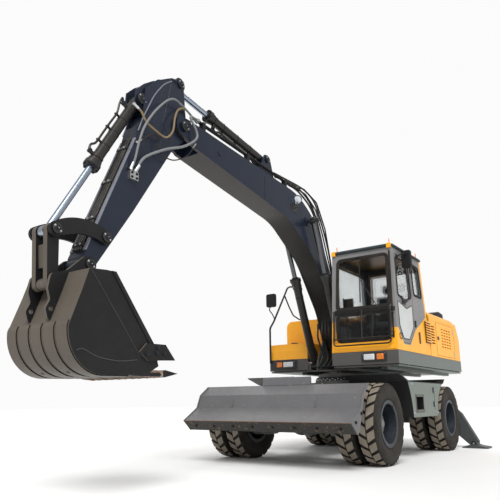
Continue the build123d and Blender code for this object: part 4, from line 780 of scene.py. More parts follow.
def add_band(bm, loop, width, thick, normal, slot=0):
    """A flat band of even width along a closed loop on a nearly flat wall."""
    normal = Vector(normal).normalized()
    count = len(loop)
    corners = []
    for i, point in enumerate(loop):
        ahead = (loop[(i + 1) % count] - loop[i - 1]).normalized()
        side = ahead.cross(normal).normalized() * width / 2
        lift = normal * thick
        corners.append([bm.verts.new(p) for p in (point - side, point + side, point + side + lift,
                                                  point - side + lift)])
    for i in range(count):
        near, far = corners[i], corners[(i + 1) % count]
        for k in range(4):
            m = (k + 1) % 4
            bm.faces.new((near[k], near[m], far[m], far[k])).material_index = slot


def add_gasket(bm, wall, outline, radius, width, thick, out=0.0):
    """A rubber band round an opening in a cab wall."""
    loop = [on_wall(wall, along, z, out) for along, z in rounded(outline, radius)]
    add_band(bm, loop, width, thick, OUTWARD[wall])


def add_window_gaskets(bm):
    """A wide and a narrow band round each window, and the front pillar's strip."""
    for wall, outline, radius in WINDOWS:
        add_gasket(bm, wall, outline, radius, 0.050 if wall == "front" else 0.034, 0.009)
        add_gasket(bm, wall, outline, radius, 0.012, 0.013)
    strip = [on_wall("front", y, z, 0.002) for y, z in PILLAR_STRIP]
    add_loft(bm, [strip, [spot + Vector((0.010, 0, 0)) for spot in strip]])


def add_door_fittings(bm):
    """The gaskets, the lower pane as a pale plate with a painted reflection, handle, grip and hinges of the
    door.
    """
    add_gasket(bm, "left", DOOR_WINDOW, 0.04, 0.030, 0.009, -0.002)
    add_gasket(bm, "left", DOOR_OUTLINE, 0.05, 0.016, 0.006, -0.012)
    panel = rounded(DOOR_LOWER_PANE, 0.03)
    # the lower pane in the pale finish, a painted reflection
    add_wall_panel(bm, "left", panel, -0.012, 0.001, 2)
    add_band(bm, [on_wall("left", x, z, -0.006) for x, z in panel], 0.010, 0.010, OUTWARD["left"])
    handle = [on_wall("left", x, 2.125, 0.004) for x in (0.63, 0.76)]
    add_box(bm, handle[0], handle[1] + Vector((0, 0.010, 0.085)), 1)
    grip = [on_wall("left", x, 2.165, out)
            for x, out in ((0.645, 0.01), (0.66, 0.042), (0.73, 0.042), (0.745, 0.01))]
    add_hose(bm, grip, 0.009, 1, 10)
    for z in (1.88, 2.70):
        spot = on_wall("left", 0.295, z, 0.012)
        add_rod(bm, spot - Vector((0, 0, 0.05)), spot + Vector((0, 0, 0.05)), 0.013, 1, 12)


def add_wire_guard(bm):
    """The guard's bent tube frame and the welded wires between its tubes."""
    (x0, z0), (x1, z1) = GUARD_FOOT, GUARD_HEAD
    corners = rounded(rectangle(0.295, 1.545, 1.150, 2.060), 0.055)
    tube = [Vector((x0 + (x1 - x0) * (z - z0) / (z1 - z0) + 0.004, y, z)) for y, z in corners]
    add_hose(bm, tube + tube[:1], 0.011, 0, 10, 1)
    for y, z in ((0.295, 1.66), (0.295, 1.97), (1.150, 1.70), (1.150, 1.97)):
        x = x0 + (x1 - x0) * (z - z0) / (z1 - z0)
        out = 0.035 if y > 1 else -0.025
        add_rod(bm, (x, y, z), (x - 0.035, y + out, z), 0.012, 0, 10)
    y_low, y_high = GUARD_SIDES
    for i in range(1, GUARD_COLUMNS):
        y = y_low + (y_high - y_low) * i / GUARD_COLUMNS
        add_rod(bm, (x0, y, z0), (x1, y, z1), WIRE_R, 0, 5)
    for i in range(1, GUARD_ROWS):
        t = i / GUARD_ROWS
        x, z = x0 + (x1 - x0) * t + 0.002, z0 + (z1 - z0) * t
        add_rod(bm, (x, y_low, z), (x, y_high, z), WIRE_R, 0, 5)
    for y in GUARD_SIDES:
        for x, z in (GUARD_FOOT, GUARD_HEAD):
            add_rod(bm, (x, y, z), (x - 0.06, y, z), 0.010, 0, 10)


def add_wiper(bm):
    """The wiper's pivot, arm and blade."""
    pivot = on_wall("front", 0.98, 2.03, 0.02)
    add_rod(bm, pivot - Vector((0.03, 0, 0)), pivot + Vector((0.02, 0, 0)), 0.022)
    add_rod(bm, pivot, on_wall("front", 0.70, 2.50, 0.028), 0.008, 0, 8, 0.005)
    add_rod(bm, on_wall("front", 0.70, 2.16, 0.020), on_wall("front", 0.70, 2.76, 0.020), 0.009, 1, 6)


def add_roof_fittings(bm):
    """Corner caps, marker poles and the gutter of the roof."""
    for x, y in ((0.985, 1.150), (0.985, 0.285), (-0.215, 1.150), (-0.215, 0.285)):
        add_box(bm, (x - 0.022, y - 0.030, 2.915), (x + 0.022, y + 0.030, 2.982))
    for x, y in ((0.960, 1.150), (0.960, 0.330), (-0.110, 1.170)):
        add_rod(bm, (x, y, 2.960), (x, y, 3.030), 0.007, 1, 10)
        add_rod(bm, (x, y, 3.020), (x, y, 3.060), 0.009, 1, 10, 0.005)
    (x_low, y_low, _), (x_high, y_high, _) = node_box("cab_roof")
    gutter = rounded(rectangle(x_low, y_low, x_high, y_high), 0.09)
    add_band(bm, [Vector((x, y, 2.936)) for x, y in gutter], 0.020, 0.016, (0, 0, 1), 2)


def add_cab_panels(bm):
    """The yellow front panels with their dark strip, and the round recess on the left."""
    left, right = 0.262, 1.205
    add_wall_panel(bm, "front", rectangle(left, 1.470, right, 1.580), 0.001, 0.010, 0)
    add_wall_panel(bm, "front", rectangle(left, 1.995, right, 2.055), 0.001, 0.006, 1)
    add_wall_panel(bm, "front", rectangle(0.245, 1.60, 0.300, 1.90), 0.001, 0.006, 0)
    recess = rounded(rectangle(0.900, 1.610, 0.985, 1.690), 0.04)
    add_band(bm, [on_wall("left", x, z, 0.002) for x, z in recess], 0.012, 0.006, OUTWARD["left"], 1)


class EXCAVATOR_OT_cab_trim(bpy.types.Operator):
    """Add the gaskets, door's fittings, guard, wiper and roof's fittings of the cab"""

    bl_idname = "excavator.cab_trim"
    bl_label = "Cab Trim"

    def execute(self, context):
        build("window_gaskets", "upper", ("gasket",), add_window_gaskets, bevel=0.002)
        build("door_fittings", "cab_door", ("gasket", "plastic", "pale"), add_door_fittings, bevel=0.002)
        build("wire_guard", "upper", ("black",), add_wire_guard)
        build("wiper", "upper", ("plastic", "gasket"), add_wiper, bevel=0.001)
        build("roof_fittings", "upper", ("yellow", "amber", "plastic"), add_roof_fittings, bevel=0.004)
        build("cab_panels", "upper", ("yellow", "plastic", "clear", "amber", "steel"), add_cab_panels,
              bevel=0.003)
        return {"FINISHED"}


# --- hoods --------------------------------------------------------------------------------
HOOD_SIDE = node_box("engine_cover")[1][1]    # face of the side plates from the centre plane
LOUVRES = 9
LID_SLATS, SLAT_PITCH = 11, 0.055
# name, body, low and high x of the door and its side
HOOD_DOORS = (("radiator_door_fittings", "radiator_door", -1.60, -0.70, 1),
              ("pump_door_fittings", "pump_door", -1.58, -0.46, -1))


def add_louvres(bm, x_low, x_high, z_low, z_high):
    """Pressed louvres over a black plate, which is painted shade in the opening behind them."""
    y = HOOD_SIDE
    # a black plate behind the louvres: painted shade
    add_box(bm, (x_low, y - 0.002, z_low), (x_high, y + 0.001, z_high), 1)
    pitch = (z_high - z_low) / LOUVRES
    for row in range(LOUVRES):
        z = z_low + row * pitch
        add_loft(bm, [[(x, y, z + pitch), (x, y + 0.004, z + pitch), (x, y + 0.018, z + pitch * 0.35),
                       (x, y + 0.014, z + pitch * 0.30)] for x in (x_low + 0.004, x_high - 0.004)])


def add_hood_vents(bm):
    """The louvres, the upright slot as a black plate of painted shade, and the seams of the hoods' sides."""
    add_louvres(bm, -0.385, -0.135, 1.64, 1.98)
    # the upright slot: a black plate, painted shade in the opening
    slot = rounded(rectangle(0.128, 1.600, 0.172, 1.775), 0.02)
    add_plate(bm, slot, HOOD_SIDE - 0.004, HOOD_SIDE + 0.003, 1)
    for y, front_seam in ((HOOD_SIDE, -0.668), (-HOOD_SIDE, -0.405)):
        for x in (-1.668, front_seam):
            add_box(bm, (x - 0.003, y - 0.002, 1.475), (x + 0.003, y + 0.002, 2.015), 1)


def add_door_catch(bm, x_low, x_high, side):
    """The latch and the hinges of a hood's door."""
    y = side * HOOD_SIDE
    x = x_high - 0.03
    add_box(bm, (x - 0.05, y - 0.002 * side, 1.735), (x + 0.012, y + 0.012 * side, 1.785), 1)
    add_rod(bm, (x - 0.03, y, 1.76), (x - 0.03, y + 0.018 * side, 1.76), 0.013, 2, 14)
    x = x_low - 0.025
    for z in (1.55, 1.93):
        add_rod(bm, (x, y + 0.004 * side, z - 0.04), (x, y + 0.004 * side, z + 0.04), 0.009, 2, 10)


def add_lid_fittings(bm):
    """The slats and catches of the hood's lid."""
    for i in range(LID_SLATS):
        x = -1.50 + i * SLAT_PITCH
        slat = [(x, 2.190), (x + 0.030, 2.190), (x + 0.040, 2.204), (x + 0.008, 2.204)]
        add_plate(bm, slat, -0.36, 0.36)
    for y in (-0.45, 0.45):
        add_rod(bm, (-0.62, y, 2.191), (-0.62, y, 2.204), 0.020, 1, 14)


def add_tail(bm, bolt):
    """Rear lamps, lifting eyes and bolts of the counterweight."""
    x = -2.110
    for side in (1, -1):
        y = side * 0.95
        add_box(bm, (x - 0.05, y - 0.11, 1.50), (x + 0.05, y + 0.11, 1.60))
        for offset, slot in ((-0.055, 1), (0.055, 2)):
            add_spin(bm, [(0.0, 0.0), (0.0, 0.040), (0.016, 0.036), (0.022, 0.0)],
                     (x - 0.048, y + offset, 1.55), (-1, 0, 0), slot, 20)
        eye = Vector((-1.78, side * 0.85, 2.110))
        add_rod(bm, (eye.x, eye.y, 2.085), eye, 0.055, 4, 24)
        add_bolt(bm, eye, (0, 0, 1), bolt * 1.2, 3)


def add_exhaust(bm):
    """The silencer's outlet pipe on the hood, and the raised cover beside it."""
    foot = Vector((-1.62, -0.80, 2.164))
    add_spin(bm, [(0.0, 0.0), (0.0, 0.095), (0.014, 0.095), (0.014, 0.0)], foot, (0, 0, 1), 1, 32)
    path = [foot + Vector(p) for p in ((0, 0, 0), (0, 0, 0.16), (-0.01, 0, 0.26), (-0.07, 0, 0.34),
                                       (-0.15, 0, 0.37))]
    add_hose(bm, path, 0.048, 0, 24, 5)
    add_rod(bm, foot + Vector((0, 0, 0.05)), foot + Vector((0, 0, 0.07)), 0.056, 1, 24)
    cover = rounded([(-1.88, 2.160), (-1.44, 2.160), (-1.50, 2.290), (-1.60, 2.325), (-1.86, 2.300)], 0.03)
    add_plate(bm, cover, 0.86, 1.02)


class EXCAVATOR_OT_hoods(bpy.types.Operator):
    """Add the louvres, slots, latches, seams and lamps of the hoods"""

    bl_idname = "excavator.hoods"
    bl_label = "Hood Details"

    def execute(self, context):
        bolt = context.scene.excavator_sizes.bolt
        build("hood_vents", "upper", ("yellow", "plastic"), add_hood_vents, bevel=0.0015)
        for name, body, x_low, x_high, side in HOOD_DOORS:
            build(name, body, ("plastic", "plastic", "steel"), add_door_catch, x_low, x_high, side,
                  bevel=0.001)
        build("lid_fittings", "hood_lid", ("yellow", "steel"), add_lid_fittings, bevel=0.002)
        build("tail_fittings", "upper", ("plastic", "lamp_red", "amber", "steel", "black"), add_tail,
              bolt, bevel=0.003)
        build("exhaust", "upper", ("soot", "steel"), add_exhaust, bevel=0.001)
        return {"FINISHED"}


# --- working gear -------------------------------------------------------------------------
BOOM_FOOT = (0.120, 1.700)            # pins of the working gear, as (x, z)
BOOM_NOSE = (4.130, 3.820)
BOOM_BARREL_FOOT, BOOM_ROD_EYE = (0.420, 1.320), (1.310, 3.440)
ARM_BARREL_FOOT, ARM_ROD_EYE = (2.280, 4.120), (4.151, 4.362)
BUCKET_BARREL_FOOT, BUCKET_ROD_EYE = (4.720, 3.915), (5.700, 2.220)
# body, pin, half its length and the radius of its cap
PINS = (
    ("boom_rods", BOOM_ROD_EYE, 0.339, 0.050),
    ("upper", BOOM_BARREL_FOOT, 0.348, 0.046),
    ("upper", BOOM_FOOT, 0.205, 0.062),
    ("boom", BOOM_NOSE, 0.189, 0.060),
    ("boom", ARM_BARREL_FOOT, 0.097, 0.046),
    ("arm", ARM_ROD_EYE, 0.127, 0.050),
    ("arm", BUCKET_BARREL_FOOT, 0.095, 0.062),
    ("arm", (5.160, 2.270), 0.161, 0.050),
    ("rockers", BUCKET_ROD_EYE, 0.163, 0.048),
    ("bucket", (5.327, 1.982), 0.157, 0.050),
)
# name, body, base, eye, distance from the gear's plane, radius and length of the barrel, side of
# its pipe and length of the gland's nose
BARRELS = (
    ("arm_barrel_fittings", "arm_barrels", ARM_BARREL_FOOT, ARM_ROD_EYE, 0.0, 0.058, 1.250, 1, 0.030),
    ("bucket_barrel_fittings", "bucket_cylinder_body", BUCKET_BARREL_FOOT, BUCKET_ROD_EYE, 0.0, 0.056,
     1.085, -1, 0.004),
    ("boom_barrel_fittings_left", "boom_barrels", BOOM_BARREL_FOOT, BOOM_ROD_EYE, 0.264, 0.062, 1.450,
     -1, 0.030),
    ("boom_barrel_fittings_right", "boom_barrels", BOOM_BARREL_FOOT, BOOM_ROD_EYE, -0.264, 0.062, 1.450,
     -1, 0.030),
)
GLAND_BOLTS = 8


def gear(spot, offset=0.0):
    """A place on the working gear from its (x, z) spot and its distance from the gear's plane."""
    return Vector((spot[0], GEAR_Y + offset, spot[1]))


def boom_top(x):
    """Height of the boom's straight top plate."""
    return 3.800 + (x - 1.560) * 0.0569


def add_pin_caps(bm, body, bolt):
    """Caps, keeper plates and grease nipples at both ends of a body's pins."""
    for spot, half, radius in [pin[1:] for pin in PINS if pin[0] == body]:
        for side in (1, -1):
            face = gear(spot, side * half)
            out = Vector((0, side, 0))
            add_spin(bm, [(0.0, 0.0), (0.0, radius), (0.009, radius), (0.013, radius - 0.006),
                          (0.013, 0.0)], face, out, 0, 32)
            add_rod(bm, face + out * 0.012, face + out * 0.017, radius * 0.55, 1, 24)
            add_rod(bm, face + out * 0.015, face + out * 0.028, 0.005, 2, 8)
            for turn in (0.6, 0.6 + math.pi):
                spoke = Vector((math.cos(turn), 0, math.sin(turn))) * (radius * 0.74)
                add_bolt(bm, face + spoke + out * 0.012, out, bolt * 0.5, 2)


class EXCAVATOR_OT_pins(bpy.types.Operator):
    """Add the pins' caps, keeper plates and grease nipples"""

    bl_idname = "excavator.pins"
    bl_label = "Pins"

    def execute(self, context):
        bolt = context.scene.excavator_sizes.bolt
        for body in dict.fromkeys(pin[0] for pin in PINS):
            build(f"pin_caps_{body}", body, ("black", "cast", "steel"), add_pin_caps, body, bolt,
                  bevel=0.0012)
        return {"FINISHED"}


def add_barrel_fittings(bm, base, eye, offset, radius, length, side, nose):
    """Gland bolts, ports and the clipped steel pipe along one cylinder."""
    start, end = gear(base, offset), gear(eye, offset)
    along = (end - start).normalized()
    across = Vector((0, 1, 0))
    up = across.cross(along).normalized() * side
    gland = start + along * length
    port = length - 0.13
    line = up * (radius + 0.040)
    add_spin(bm, [(-0.052, 0.0), (-0.052, radius + 0.026), (-0.006, radius + 0.026),
                  (0.0, radius + 0.020), (0.0, 0.0)], gland + along * 0.004, along, 0, 40)
    add_spin(bm, [(0.0, 0.0), (0.0, radius * 0.82), (nose * 0.85, radius * 0.78), (nose, radius * 0.66),
                  (nose, 0.0)], gland + along * 0.003, along, 3, 32)
    for i in range(GLAND_BOLTS):
        a = math.tau * (i + 0.5) / GLAND_BOLTS
        spot = gland + (up * math.cos(a) + across * math.sin(a)) * (radius + 0.010) + along * 0.004
        add_bolt(bm, spot, along, 0.020, 1)
    for distance in (0.17, port):
        foot = start + along * distance + up * radius * 0.8
        head = start + along * distance + up * (radius + 0.046)
        add_rod(bm, foot, head, 0.022)
        add_rod(bm, head - up * 0.012, head + up * 0.014, 0.027, 1, 6)
    pipe = [start + along * 0.17 + up * (radius + 0.05), start + along * 0.13 + up * (radius + 0.085),
            start + along * 0.22 + up * (radius + 0.075)]
    pipe += [start + along * (0.34 + (length - 0.60) * k / 3) + line for k in range(3)]
    pipe += [start + along * (length - 0.26) + line, start + along * (length - 0.19) + up * (radius + 0.070),
             start + along * port + up * (radius + 0.056)]
    add_hose(bm, pipe, 0.012, 0, 10, 5)
    for k in range(3):
        spot = start + along * (0.36 + (length - 0.66) * k / 2)
        add_spin(bm, [(-0.006, radius * 0.94), (-0.006, radius + 0.0025), (0.006, radius + 0.0025),
                      (0.006, radius * 0.94)], spot, along, 2, 32)
        clip = spot - along * 0.010
        add_rod(bm, clip + up * (radius - 0.01), clip + up * (radius + 0.044), 0.013, 2, 8)
        add_bolt(bm, spot + up * (radius + 0.050), up, 0.018, 1)


class EXCAVATOR_OT_cylinder_fittings(bpy.types.Operator):
    """Add the glands, ports, pipes and clips of the cylinders"""

    bl_idname = "excavator.cylinder_fittings"
    bl_label = "Cylinder Fittings"

    def execute(self, context):
        for name, body, *barrel in BARRELS:
            build(name, body, ("black", "cast", "soot", "cast"), add_barrel_fittings, *barrel,
                  bevel=0.0012)
        return {"FINISHED"}


def add_fitting(bm, end, direction, radius):
    """A crimped sleeve and its nut at a hose's end."""
    direction = Vector(direction).normalized()
    end = Vector(end)
    add_rod(bm, end - direction * 0.010, end + direction * 0.055, radius * 1.35, 1, 14)
    add_rod(bm, end - direction * 0.030, end - direction * 0.006, radius * 1.65, 1, 6)


def add_fitted_hose(bm, points, radius, steps=8):
    """A hose with a fitting at each end."""
    add_hose(bm, points, radius, 0, 12, steps)
    add_fitting(bm, points[0], points[1] - points[0], radius)
    add_fitting(bm, points[-1], points[-2] - points[-1], radius)


# side shift and route in the boom's plane of the hoses over the boom's bend
BEND_HOSES = (
    (0.000, [(2.070, 4.020), (1.950, 4.046), (1.640, 4.058), (1.301, 4.070), (1.060, 4.060), (0.854, 4.010),
             (0.704, 3.915), (0.584, 3.742), (0.462, 3.545), (0.330, 3.270), (0.215, 2.900), (0.130, 2.520),
             (0.190, 2.280)]),
    (0.120, [(1.900, 3.900), (1.657, 3.900), (1.474, 3.880), (1.288, 3.820), (1.121, 3.735), (0.985, 3.600),
             (0.890, 3.400), (0.790, 3.150), (0.640, 2.860), (0.440, 2.520), (0.320, 2.330)]),
    (0.060, [(2.000, 3.960), (1.700, 3.990), (1.420, 3.985), (1.180, 3.935), (0.980, 3.830), (0.820, 3.650),
             (0.700, 3.400), (0.560, 3.050), (0.380, 2.650), (0.260, 2.340)]),
    (-0.060, [(2.000, 3.960), (1.700, 3.980), (1.420, 3.970), (1.180, 3.910), (0.960, 3.780), (0.790, 3.560),
              (0.650, 3.280), (0.500, 2.950), (0.330, 2.560), (0.240, 2.300)]),
)
# name, side shift and route in the boom's plane of the hoses from the deck to the boom cylinders
BELLY_HOSES = (
    ("belly_hose_0", 0.040, [(0.700, 1.300), (0.560, 1.440), (0.640, 1.640), (0.735, 1.800), (0.700, 1.960)]),
    ("belly_hose_1", 0.085, [(0.650, 1.300), (0.500, 1.450), (0.590, 1.660), (0.700, 1.800), (0.680, 1.980)]),
    ("belly_hose_2", 0.125, [(0.600, 1.300), (0.470, 1.430), (0.560, 1.620), (0.660, 1.790), (0.640, 1.950)]),
    ("belly_hose_3", -0.04, [(0.720, 1.300), (0.590, 1.460), (0.650, 1.620), (0.720, 1.760), (0.690, 1.930)]),
)
# side shift, set back and finish of the hoses from the deck to the boom's foot
FOOT_HOSES = ((0.142, 0.00, "hose"), (0.112, 0.03, "grey_hose"), (-0.112, 0.02, "hose"),
              (-0.142, 0.05, "hose"), (0.060, 0.05, "hose"), (-0.050, 0.01, "grey_hose"))


def add_boom_seams(bm):
    """Weld seams and plugs on the boom's sides, and the bolts of the pipes' clamps."""
    for side in (1, -1):
        y = side * 0.165
        seam = y + side * 0.0015
        add_rod(bm, gear((2.464, 3.790), seam), gear((2.474, 3.462), seam), 0.0035, 0, 6)
        seam = y + side * 0.001
        add_rod(bm, gear((0.820, 2.935), seam), gear((1.020, 2.800), seam), 0.0035, 0, 6)
        for x in (3.760, 2.840, 1.900):
            for dx in (-0.014, 0.014):
                add_bolt(bm, gear((x + dx, boom_top(x) + 0.107), side * 0.127), (0, 0, 1), 0.018, 1)
        add_spin(bm, [(0.0, 0.0), (0.0, 0.030), (0.008, 0.028), (0.010, 0.016), (0.010, 0.0)],
                 gear((3.470, 3.740), y), (0, side, 0), 0, 20)


def add_work_lamp(bm):
    """The work lamp on its bracket at the boom's side."""
    lamp = Vector((1.640, 0.060, 3.686))
    facing = Vector((0.93, 0.20, -0.30)).normalized()
    stem = (1.690, 0.060, 3.560)
    add_box(bm, (1.622, 0.024, 3.480), (1.782, 0.030, 3.600))
    add_rod(bm, (1.700, 0.028, 3.540), stem, 0.012, 0, 10)
    add_hose(bm, [stem, (1.670, 0.068, 3.600), (1.660, 0.062, 3.640)], 0.010)
    add_spin(bm, [(-0.075, 0.0), (-0.070, 0.030), (-0.045, 0.056), (0.0, 0.066), (0.012, 0.068),
                  (0.014, 0.062), (0.004, 0.060), (0.004, 0.0)], lamp, facing, 0, 32)
    add_spin(bm, [(0.003, 0.0), (0.003, 0.060), (0.010, 0.056), (0.018, 0.030), (0.020, 0.0)],
             lamp, facing, 2, 32)
    add_spin(bm, [(0.006, 0.060), (0.016, 0.060), (0.018, 0.066), (0.008, 0.070)], lamp, facing, 3, 32)


def add_bend_hoses(bm, radius):
    """The fitted hoses over the boom's bend."""
    for offset, route in BEND_HOSES:
        add_fitted_hose(bm, [gear(spot, offset) for spot in route], radius, 6)


def foot_hose_route(offset, back):
    """Places along a hose that bridges the deck and the boom's foot."""
    return [gear((-0.150 - back, 1.560), offset), gear((-0.190 - back, 1.780), offset),
            gear((-0.120 - back, 2.020), offset), gear((0.060, 2.155), offset * 0.95),
            gear((0.225, 2.165), offset)]


class EXCAVATOR_OT_boom_fittings(bpy.types.Operator):
    """Add the seams, clamps' bolts, work lamp and foot hoses of the boom"""

    bl_idname = "excavator.boom_fittings"
    bl_label = "Boom Fittings"

    def execute(self, context):
        hose = context.scene.excavator_sizes.hose
        build("boom_seams", "boom", ("navy", "steel"), add_boom_seams, bevel=0.0008)
        build("boom_work_lamp", "boom", ("black", "steel", "clear", "chrome"), add_work_lamp, bevel=0.001)
        build("bend_hoses", "boom", ("hose", "cast"), add_bend_hoses, hose)
        for name, offset, route in BELLY_HOSES:
            points = [gear(spot, offset) for spot in route]
            piece = build(name, None, ("hose", "cast"), add_fitted_hose, points, hose)
            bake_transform(piece)
        for index, (offset, back, finish) in enumerate(FOOT_HOSES):
            piece = build(f"foot_hose_{index}", None, (finish, "steel"), add_fitted_hose,
                          foot_hose_route(offset, back), hose)
            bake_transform(piece)
        return {"FINISHED"}


# points along the edge of the arm head's side plates; a rod in the edge strip colour follows them as a
# painted highlight
HEAD_EDGE_HIGHLIGHT = ((4.295, 4.330), (4.401, 4.245), (4.502, 4.117), (4.574, 4.002), (4.615, 3.916), (4.676, 3.783),
             (4.720, 3.685), (4.779, 3.520))
HEAD_SEAMS = (((4.700, 3.640), (4.560, 3.700)), ((4.560, 3.700), (4.400, 4.270)),
              ((4.300, 3.560), (4.420, 3.760)), ((4.420, 3.760), (4.300, 4.310)),
              ((5.170, 2.340), (5.240, 2.360)))
ARM_BEND, ARM_END = Vector((4.802, 0, 3.430)), Vector((5.350, 0, 2.118))
CHANNEL_HOSES = (-0.048, -0.016, 0.016, 0.048)
CHANNEL_RINGS = 60                    # ribs along a hose of the channel
CLAMP_SHARES = (0.10, 0.42, 0.74, 0.96)
# name, finish, radius and route of the hoses over the nose
NOSE_HOSES = (
    ("nose_hose_long", "grey_hose", 0.0125,
     [(4.880, 0.005, 3.070), (4.850, 0.020, 3.163), (4.820, 0.045, 3.372), (4.755, 0.060, 3.576),
      (4.590, 0.070, 3.834), (4.376, 0.060, 4.040), (4.176, 0.040, 4.052), (3.864, -0.028, 4.022)]),
    ("nose_hose_thick", "grey_hose", 0.0145,
     [(4.805, 0.000, 3.070), (4.735, 0.040, 3.219), (4.475, 0.080, 3.395), (4.193, 0.085, 3.538),
      (3.992, 0.085, 3.702), (3.978, 0.080, 3.809), (4.060, 0.060, 3.960), (3.864, 0.002, 4.022)]),
    ("nose_hose_tan", "tan_hose", 0.0115,
     [(4.835, -0.020, 3.780), (4.790, 0.020, 3.719), (4.728, 0.040, 3.620), (4.609, 0.055, 3.566),
      (4.457, 0.060, 3.547), (4.351, 0.060, 3.661), (4.309, 0.050, 3.848), (4.247, 0.040, 3.974),
      (4.120, 0.010, 4.040), (3.864, -0.252, 4.022)]),
    ("nose_hose_thin", "hose", 0.0070,
     [(4.800, 0.000, 3.380), (4.633, 0.030, 3.521), (4.527, 0.035, 3.506), (4.507, 0.035, 3.364),
      (4.383, 0.040, 3.330), (4.257, 0.050, 3.364), (4.111, 0.070, 3.466), (3.985, 0.060, 3.639)]),
    ("nose_hose_right", "hose", 0.0145,
     [(4.700, -0.275, 3.300), (4.600, -0.310, 3.560), (4.430, -0.330, 3.840), (4.200, -0.320, 4.030),
      (3.864, -0.282, 4.022)]),
)


def add_arm_channel(bm, bolt):
    """The channel along the arm's face with its edge bars in a painted sheen colour, ribbed hoses and clamps.
    """
    run = ARM_END - ARM_BEND
    along = run.normalized()
    out = Vector((0, 1, 0)).cross(run).normalized()
    out = out if out.x > 0 else -out

    def face_spot(share, wide, lift):
        """A place on the arm's face, from its share of the length, its side and its height."""
        return ARM_BEND + run * share + out * lift + Vector((0, GEAR_Y + wide, 0))

    def add_strip(near, far, low, high, slot):
        """A flat bar along the whole face."""
        corners = ((near, low), (far, low), (far, high), (near, high))
        add_loft(bm, [[spot + out * lift + Vector((0, GEAR_Y + wide, 0)) for wide, lift in corners]
                      for spot in (ARM_BEND, ARM_END)], slot)

    # the bars at the face's edges take the edge strip colour, a painted sheen on the plates' lit edges
    for side in (1, -1):
        add_strip(side * 0.072, side * 0.113, -0.004, 0.010, 0)
    add_strip(-0.070, 0.070, -0.004, 0.0015, 1)
    for wide in CHANNEL_HOSES:
        add_hose(bm, [face_spot(k / 8, wide, 0.016) for k in range(9)], 0.0135, 2, 10, 2)
        for k in range(1, CHANNEL_RINGS):
            spot = face_spot(k / CHANNEL_RINGS, wide, 0.016)
            add_rod(bm, spot - along * 0.004, spot + along * 0.004, 0.0155, 2, 10)
    for share in CLAMP_SHARES:
        spot = ARM_BEND + run * share
        clamp = rectangle(-0.074, 0.004, 0.074, 0.036)
        add_loft(bm, [[spot + step + out * lift + Vector((0, GEAR_Y + wide, 0)) for wide, lift in clamp]
                      for step in (-along * 0.020, along * 0.020)], 1)
        for wide in (-0.032, 0.032):
            add_bolt(bm, face_spot(share, wide, 0.036), out, bolt * 0.6, 3)


def add_head_fittings(bm, bolt):
    """The seams of the arm's head, rods along its plates' edges in the edge strip colour as a painted
    highlight, and the block that the nose's hoses reach.
    """
    for side in (1, -1):
        y = side * 0.1155
        for near, far in HEAD_SEAMS:
            add_rod(bm, gear(near, y), gear(far, y), 0.0030, 0, 6)
        # painted highlight: a rod in the edge strip colour along the plate's edge
        add_hose(bm, [gear(spot, y) for spot in HEAD_EDGE_HIGHLIGHT], 0.0075, 3, 8, 4)
    add_box(bm, gear((4.782, 2.950), 0.115), gear((4.892, 3.040), 0.150), 1)
    for spot in ((4.805, 2.972), (4.868, 2.972), (4.805, 3.018), (4.868, 3.018)):
        add_bolt(bm, gear(spot, 0.150), (0, 1, 0), bolt * 0.7, 2)
    for x, z, dx, dz in ((4.870, 3.035, 0.35, 1.0), (4.812, 3.035, -0.25, 1.0)):
        add_rod(bm, gear((x, z), 0.133), gear((x + dx * 0.03, z + dz * 0.035), 0.133), 0.020, 2, 6)


class EXCAVATOR_OT_arm_fittings(bpy.types.Operator):
    """Add the hose channel, edge bars and rods in a painted sheen colour, seams, fitting block and hoses of
    the arm
    """

    bl_idname = "excavator.arm_fittings"
    bl_label = "Arm Fittings"

    def execute(self, context):
        bolt = context.scene.excavator_sizes.bolt
        build("arm_channel", "arm", ("strip", "black", "hose", "steel"), add_arm_channel, bolt,
              bevel=0.0015)
        build("arm_fitting_block", "arm", ("arm", "steel", "cast", "strip"), add_head_fittings, bolt,
              bevel=0.0015)
        for name, finish, radius, route in NOSE_HOSES:
            points = [Vector(spot) for spot in route]
            piece = build(name, None, (finish, "steel"), add_fitted_hose, points, radius)
            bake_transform(piece)
        return {"FINISHED"}


# --- bucket and blade ---------------------------------------------------------------------
BUCKET_W = 0.840
TEETH = 5
TOOTH_PITCH = (BUCKET_W - 0.100) / (TEETH - 1)
RIDGE_PITCH = (BUCKET_W - 0.132 - 0.024) / (TEETH - 1)
CHEEK = 0.422                         # face of the bucket's side plates from the gear's plane
HEEL_SEAM = ((4.979, 1.144), (5.100, 1.128), (5.220, 1.124), (5.419, 1.145), (5.569, 1.199),
             (5.632, 1.184))
CHEEK_SEAM = ((5.534, 1.868), (5.233, 1.519), (4.940, 1.170))
LINK_BUSH = (5.671, 1.760)
BLADE_HALF = node_box("blade")[1][1]
BLADE_BOLTS = (-1.05, -0.75, -0.45, -0.15, 0.15, 0.45, 0.75, 1.05)


